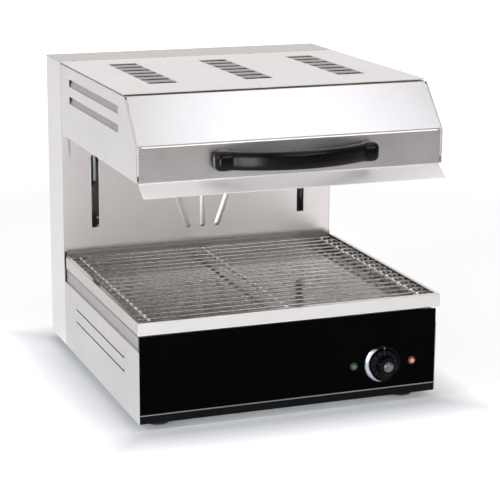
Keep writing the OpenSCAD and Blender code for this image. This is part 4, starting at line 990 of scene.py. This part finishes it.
# %% Lenses
DOME_STEPS, FLANGE_T = 7, 1
for node in ("lamp_lens_green", "lamp_lens_orange"):
    low, high, mid = size(node)
    flange_r = (high.x - low.x) / 2 / MM
    depth = (face_y - high.y) / MM
    top = (face_y - low.y) / MM
    dome_r = flange_r - 1
    angles = [i / DOME_STEPS * math.pi / 2 for i in range(DOME_STEPS)]
    dome = [(dome_r * math.cos(a), FLANGE_T + (top - FLANGE_T) * math.sin(a)) for a in angles]
    lens = turned(node + "_dome", [
        (0, depth), (dome_r, depth), (dome_r, 0), (flange_r, 0), (flange_r, FLANGE_T - 0.4),
        (flange_r - 0.4, FLANGE_T), *dome, (0, top),
    ], (mid.x, face_y, mid.z), steps=48)
    smooth(lens, 50)
    place(lens, node)

# %% [markdown]
# ## The wire rack
#
# The real rack is welded: cross wires lie on three thicker bearers, and each crossing has a small bead where
# the weld has run. One wire and one bead are modelled, and every other one is a copy with its own mesh.
# A bead sits a little below its wire, in the corner between the wire and the bearer.

# %% Wires, bearers and welds
WIRE_R, BEARER_R, ROD_SIDES, END_ROUND = 1.5 * MM, 2.5 * MM, 14, 0.55
BEAD_R, BEAD_DROP, BEAD_SPREAD = 1.15 * WIRE_R, 0.3 * WIRE_R, (1.9, 1.7, 1.0)
WIRES, FIRST_WIRE, LAST_WIRE = 18, -207.5 * MM, 150.5 * MM
BEARERS = (-203 * MM, 0, 203 * MM)
rack_low, rack_high, rack_mid = size("wire_rack")
wire_z = rack_high.z - WIRE_R
bearer_z = rack_low.z + BEARER_R


def rod(name, radius, length, at, along):
    """A drawn wire with rounded ends, along X or along Y."""
    clear()
    turn = (0, math.pi / 2, 0) if along == ALONG_X else (math.pi / 2, 0, 0)
    bpy.ops.mesh.primitive_cylinder_add(vertices=ROD_SIDES, radius=radius, depth=length,
                                        location=at, rotation=turn)
    piece = fix(bpy.context.object)
    edit(piece, "FACE", lambda f: len(f.vertices) > 4)
    bpy.ops.mesh.bevel(offset=radius * END_ROUND, segments=3, affect="EDGES")
    done(piece)
    piece.name = name
    return piece


def twin(piece, name, shift):
    """A copy with a mesh of its own, moved by shift."""
    made = bpy.data.objects.new(name, piece.data.copy())
    bpy.context.scene.collection.objects.link(made)
    made.data.transform(Matrix.Translation(shift))
    return made


wire = rod("wire", WIRE_R, rack_high.x - rack_low.x, (0, FIRST_WIRE, wire_z), ALONG_X)
clear()
bpy.ops.mesh.primitive_ico_sphere_add(subdivisions=2, radius=BEAD_R,
                                      location=(0, FIRST_WIRE, wire_z - BEAD_DROP))
bead = fix(bpy.context.object, BEAD_SPREAD)
bearer = rod("bearer", BEARER_R, rack_high.y - rack_low.y, (0, rack_mid.y, bearer_z), ALONG_Y)
paint(wire, wire_chrome)
# Beads and bearers take the painted highlight.
paint(bead, weld_chrome_painted_highlight)
paint(bearer, weld_chrome_painted_highlight)
pitch = (LAST_WIRE - FIRST_WIRE) / (WIRES - 1)
rack = []
for i in range(WIRES):
    rack.append(twin(wire, "wire", (0, i * pitch, 0)))
    rack += [twin(bead, "bead", (x, i * pitch, 0)) for x in BEARERS]
rack += [twin(bearer, "bearer", (x, 0, 0)) for x in BEARERS]
for model in (wire, bead, bearer):
    bpy.data.objects.remove(model)
rack = join(rack, "rack_welded")
smooth(rack, 50)
place(rack, "wire_rack")
print("  wires", round(pitch / MM, 1), "mm apart")

# %% [markdown]
# ## Louvres
#
# The hood's side slots let hot air out but not a finger in: behind each one a blade leans inwards. It is
# longer than its slot, so that its ends don't show.

# %% Side blades
SIDE_SLOTS = [(430 * MM, 441 * MM), (404 * MM, 415 * MM)]
SLOT_Y = (-145.5 * MM, 115.5 * MM)
BLADE_LEAN, BLADE_T, BLADE_EDGE, BLADE_PAST = 3 * MM, 0.8 * MM, 1.5 * MM, 17 * MM
BLADE_GAP, BLADE_ROUND = 0.15 * MM, 0.2 * MM
for side, node in ((-1, "hood_side_left"), (1, "hood_side_right")):
    blades = []
    inner_x = side * (hood_x - SHEET - BLADE_GAP)
    for bottom, top in SIDE_SLOTS:
        tall = top - bottom + 2 * BLADE_EDGE
        lean = math.atan2(BLADE_LEAN, tall)
        at = (inner_x - side * (BLADE_LEAN + BLADE_T) / 2, sum(SLOT_Y) / 2, (bottom + top) / 2)
        clear()
        bpy.ops.mesh.primitive_cube_add(size=1, location=at, rotation=(0, -side * lean, 0))
        long = SLOT_Y[1] - SLOT_Y[0] + 2 * BLADE_PAST
        blade = fix(bpy.context.object, (BLADE_T, long, math.hypot(BLADE_LEAN, tall)))
        blades.append(round_edges(blade, lambda e: True, BLADE_ROUND, 2))
    blades = join(blades, node + "_blades")
    belong(blades, node, blade_steel)

# %% [markdown]
# The vents of the rear cover have small hoods pressed out over them, open at the bottom, so that nothing
# drips in. One is made from a block that loses its bottom and its back: its top edge is brought in to the
# cover, its corners are rounded, and the skin that is left gets its thickness.

# %% Rear vent hoods
cover_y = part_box("rear_cover")[1].y
VENT_X, VENT_L, VENT_H, VENT_PITCH, VENTS = 28 * MM, 120 * MM, 5 * MM, 14 * MM, 6
VENT_ROWS = [121 * MM, 346 * MM]
HOOD_OUT, HOOD_OVER, HOOD_DROP = 4.5 * MM, 2 * MM, 0.5 * MM
HOOD_TOP_OUT, HOOD_ROUND, HOOD_SKIN = 0.6 * MM, 1.6 * MM, 0.8 * MM
hood_top_z = VENT_ROWS[0] + VENT_H + 2 * HOOD_OVER
press = block("vent_hood", (VENT_X - HOOD_OVER, cover_y, VENT_ROWS[0] - HOOD_DROP),
              (VENT_X + VENT_L + HOOD_OVER, cover_y + HOOD_OUT, hood_top_z))
edit(press, "FACE", lambda f: f.normal.z < -0.9 or f.normal.y < -0.9)
bpy.ops.mesh.delete(type="FACE")
done(press)
flatten(press, cover_y + HOOD_TOP_OUT, lambda v: v.co.z > hood_top_z - MM and v.co.y > cover_y + MM)
round_edges(press, lambda e: max(abs(p.y - cover_y) for p in corners(press, e)) > MM, HOOD_ROUND, 3)
apply(press, "SOLIDIFY", thickness=HOOD_SKIN, offset=-1)
hoods = []
for row in VENT_ROWS:
    for i in range(VENTS):
        for shift in (0, -2 * VENT_X - VENT_L):
            hoods.append(twin(press, "vent_hood", (shift, 0, row - VENT_ROWS[0] + i * VENT_PITCH)))
bpy.data.objects.remove(press)
hoods = join(hoods, "rear_vent_hoods")
smooth(hoods)
belong(hoods, "rear_cover", base_steel)

# %% [markdown]
# ## Feet
#
# A rubber foot is moulded round a steel stud. It is turned like the knob, with a soft edge at the floor.

# %% Feet
FOOT_H, STUD_R = 11, 4
for node in ("foot_front_left", "foot_front_right", "foot_rear_left", "foot_rear_right"):
    low, high, mid = size(node)
    foot_r = (high.x - low.x) / 2 / MM
    foot = turned(node + "_moulding", [
        (0, 0), (foot_r - 1.5, 0), (foot_r - 0.4, 0.5), (foot_r, 1.8), (foot_r - 0.8, 5),
        (foot_r - 2.4, FOOT_H - 1.4), (foot_r - 3.2, FOOT_H - 0.4), (foot_r - 4.2, FOOT_H),
        (STUD_R, FOOT_H), (STUD_R, high.z / MM - 0.6), (STUD_R - 0.6, high.z / MM), (0, high.z / MM),
    ], (mid.x, mid.y, 0), axis=(0, 0, 1), steps=48)
    smooth(foot)
    place(foot, node)

# %% [markdown]
# ## The stage
#
# White paper lies under and behind the appliance, and the studio's own grey floor begins where the paper
# ends, well in front and to the right. The camera never sees that edge: for its rays the floor is white far
# away. But polished steel shows what lies in front of it, and the darker floor gives the front of the hood
# its grey, against the white of the sides. A little light that only the camera and the metal see takes the
# paper to white and leaves the shadow on it. For the metal that light ends toward the front, so that a side
# that faces there from another view isn't blown white.

# %% Floor
FLOOR_SIZE = 60
PAPER, STUDIO_FLOOR = "#f2f2f2", "#6a6a6a"
clear()
bpy.ops.mesh.primitive_plane_add(size=FLOOR_SIZE, location=(0, 0, 0))
floor = bpy.context.object
floor.name = "studio_floor"
fix(floor)
floor_paper, tree, shader = material("studio_paper", {"Roughness": 0.9, "Specular IOR Level": 0.0})
paint(floor, floor_paper)


def seen_rays(tree):
    """Is it a camera ray, and is it a ray that metal or glass sends out?"""
    path = add(tree, "LightPath", {}).outputs
    gloss = add(tree, "Math", {0: path["Is Glossy Ray"], 1: path["Is Transmission Ray"]},
                operation="MAXIMUM")
    return path["Is Camera Ray"], gloss.outputs[0]


PAPER_EDGE = (1.5, 2.5)
FRONT_RIGHT = (0.6, -0.8, 0.0)
camera_ray, gloss_ray = seen_rays(tree)
spot = add(tree, "TexCoord", {}).outputs["Object"]
to_edge = add(tree, "VectorMath", {0: spot, 1: FRONT_RIGHT}, operation="DOT_PRODUCT")
off_paper = add(tree, "MapRange", {"Value": to_edge.outputs["Value"], **spread(*PAPER_EDGE)})
unseen = add(tree, "Math", {0: 1.0, 1: camera_ray}, operation="SUBTRACT")
off_paper = add(tree, "Math", {0: off_paper, 1: unseen}, operation="MULTIPLY")
tint = add(tree, "Mix", {0: off_paper, 6: srgb(PAPER), 7: srgb(STUDIO_FLOOR)}, data_type="RGBA")
feed(shader, {"Base Color": tint.outputs[2]})
print("paper", PAPER, "ends", PAPER_EDGE, "m away, toward the front right")

# %% [markdown]
# The camera's share of that light grows with the distance, so that the paper runs into the white of the
# backdrop. It fades out close to the base, which keeps the contact shadow and paints a band of shade round
# the footprint as well: partly real shadow, partly painted shade.

# %% Light that the camera and the metal see
FAR = (1.3, 3.0)
NEAR_FILL, FAR_FILL, METAL_FILL = 0.45, 1.0, 0.42
SHADOW_WIDE, SHADOW_BACK = 70 * MM, 30 * MM
FRONT_END = (-1.45, -1.0)

away = add(tree, "VectorMath", {0: spot}, operation="LENGTH")
camera_fill = add(tree, "MapRange", {"Value": away.outputs["Value"], **spread(*FAR, NEAR_FILL, FAR_FILL)})
mirrored = add(tree, "VectorMath", {0: spot}, operation="ABSOLUTE")
beyond = add(tree, "VectorMath", {0: mirrored, 1: (cad_high.x, cad_high.y - SHADOW_BACK, 0)},
             operation="SUBTRACT")
beyond = add(tree, "SeparateXYZ", {0: beyond}).outputs
beyond = add(tree, "Math", {0: beyond["X"], 1: beyond["Y"]}, operation="MAXIMUM")
# Painted shade: the fill fades out in a band round the footprint.
open_floor = add(tree, "MapRange", {"Value": beyond, **spread(0.0, SHADOW_WIDE)})
for share in (open_floor, camera_ray):
    camera_fill = add(tree, "Math", {0: camera_fill, 1: share}, operation="MULTIPLY")

on_paper = add(tree, "Math", {0: 1.0, 1: off_paper}, operation="SUBTRACT")
depth = add(tree, "SeparateXYZ", {0: spot}).outputs["Y"]
behind_end = add(tree, "MapRange", {"Value": depth, **spread(*FRONT_END)})
metal_fill = METAL_FILL
for share in (on_paper, behind_end, gloss_ray):
    metal_fill = add(tree, "Math", {0: metal_fill, 1: share}, operation="MULTIPLY")
fill = add(tree, "Math", {0: camera_fill, 1: metal_fill}, operation="ADD")
feed(shader, {"Emission Color": (1, 1, 1, 1), "Emission Strength": fill})
print("floor fill", NEAR_FILL, "near,", FAR_FILL, "far,", METAL_FILL, "in metal")

# %% [markdown]
# The world is the room: white walls behind and to the left, and a darker end of the room to the right of
# the camera. Diffuse light from it is even, so that colours render about as they are written.

# %% World
WORLD_LIGHT, WHITE_WALL, DARK_WALL = 0.5, 1.15, 0.35
WALL_FADE = (0.1, 0.7)
world = bpy.data.worlds.new("studio")
bpy.context.scene.world = world
world.use_nodes = True
tree = world.node_tree
tree.nodes.clear()
camera_ray, gloss_ray = seen_rays(tree)
direction = add(tree, "TexCoord", {}).outputs["Generated"]
to_dark = add(tree, "VectorMath", {0: direction, 1: FRONT_RIGHT}, operation="DOT_PRODUCT")
walls = add(tree, "MapRange", {
    "Value": to_dark.outputs["Value"], **spread(*WALL_FADE, WHITE_WALL, DARK_WALL),
})
white = add(tree, "Math", {0: camera_ray, 1: 1.0 - WORLD_LIGHT}, operation="MULTIPLY")
strength = add(tree, "Math", {0: WORLD_LIGHT, 1: white}, operation="ADD")
extra = add(tree, "Math", {0: walls, 1: WORLD_LIGHT}, operation="SUBTRACT")
extra = add(tree, "Math", {0: gloss_ray, 1: extra}, operation="MULTIPLY")
strength = add(tree, "Math", {0: strength, 1: extra}, operation="ADD")
sky = add(tree, "Background", {"Color": (1, 1, 1, 1), "Strength": strength})
add(tree, "OutputWorld", {"Surface": sky})
print("world", WORLD_LIGHT, "for matt surfaces,", WHITE_WALL, "to", DARK_WALL, "in metal")

# %% [markdown]
# Four softboxes: one over the hood lights its slanted front, a wide one stands in front, a small low one
# puts the soft highlight on the handle, and a tall strip on the left draws the light along the side.

# %% Lamps
TARGET, HANDLE_LEFT = (0, 0, 0.25), (-0.06, -0.27, 0.37)


def lamp(name, at, aim, width, height, radiance, colour="#ffffff"):
    """A softbox: a rectangle of the given size and brightness that faces the aim."""
    clear()
    bpy.ops.object.light_add(type="AREA", location=at)
    made = bpy.context.object
    made.name = name
    made.data.shape = "RECTANGLE"
    made.data.size, made.data.size_y = width, height
    made.data.energy = radiance * math.pi * width * height
    made.data.color = srgb(colour)[:3]
    made.rotation_euler = (Vector(aim) - Vector(at)).to_track_quat("-Z", "Y").to_euler()
    made.visible_camera = False
    print(name, round(made.data.energy, 1), "W")


lamp("softbox_over", (0.83, -0.9, 2.3), TARGET, 0.6, 0.9, 2.9, "#edf3ff")
lamp("softbox_front", (1.0, -2.75, 1.1), TARGET, 1.8, 0.9, 3.6)
lamp("softbox_low", (-0.66, -1.55, 0.13), HANDLE_LEFT, 0.4, 0.22, 18.0)
lamp("strip_left", (-1.75, -0.6, 0.95), TARGET, 0.35, 1.5, 7.5, "#e2ebff")
bpy.context.scene.view_settings.view_transform = "Standard"
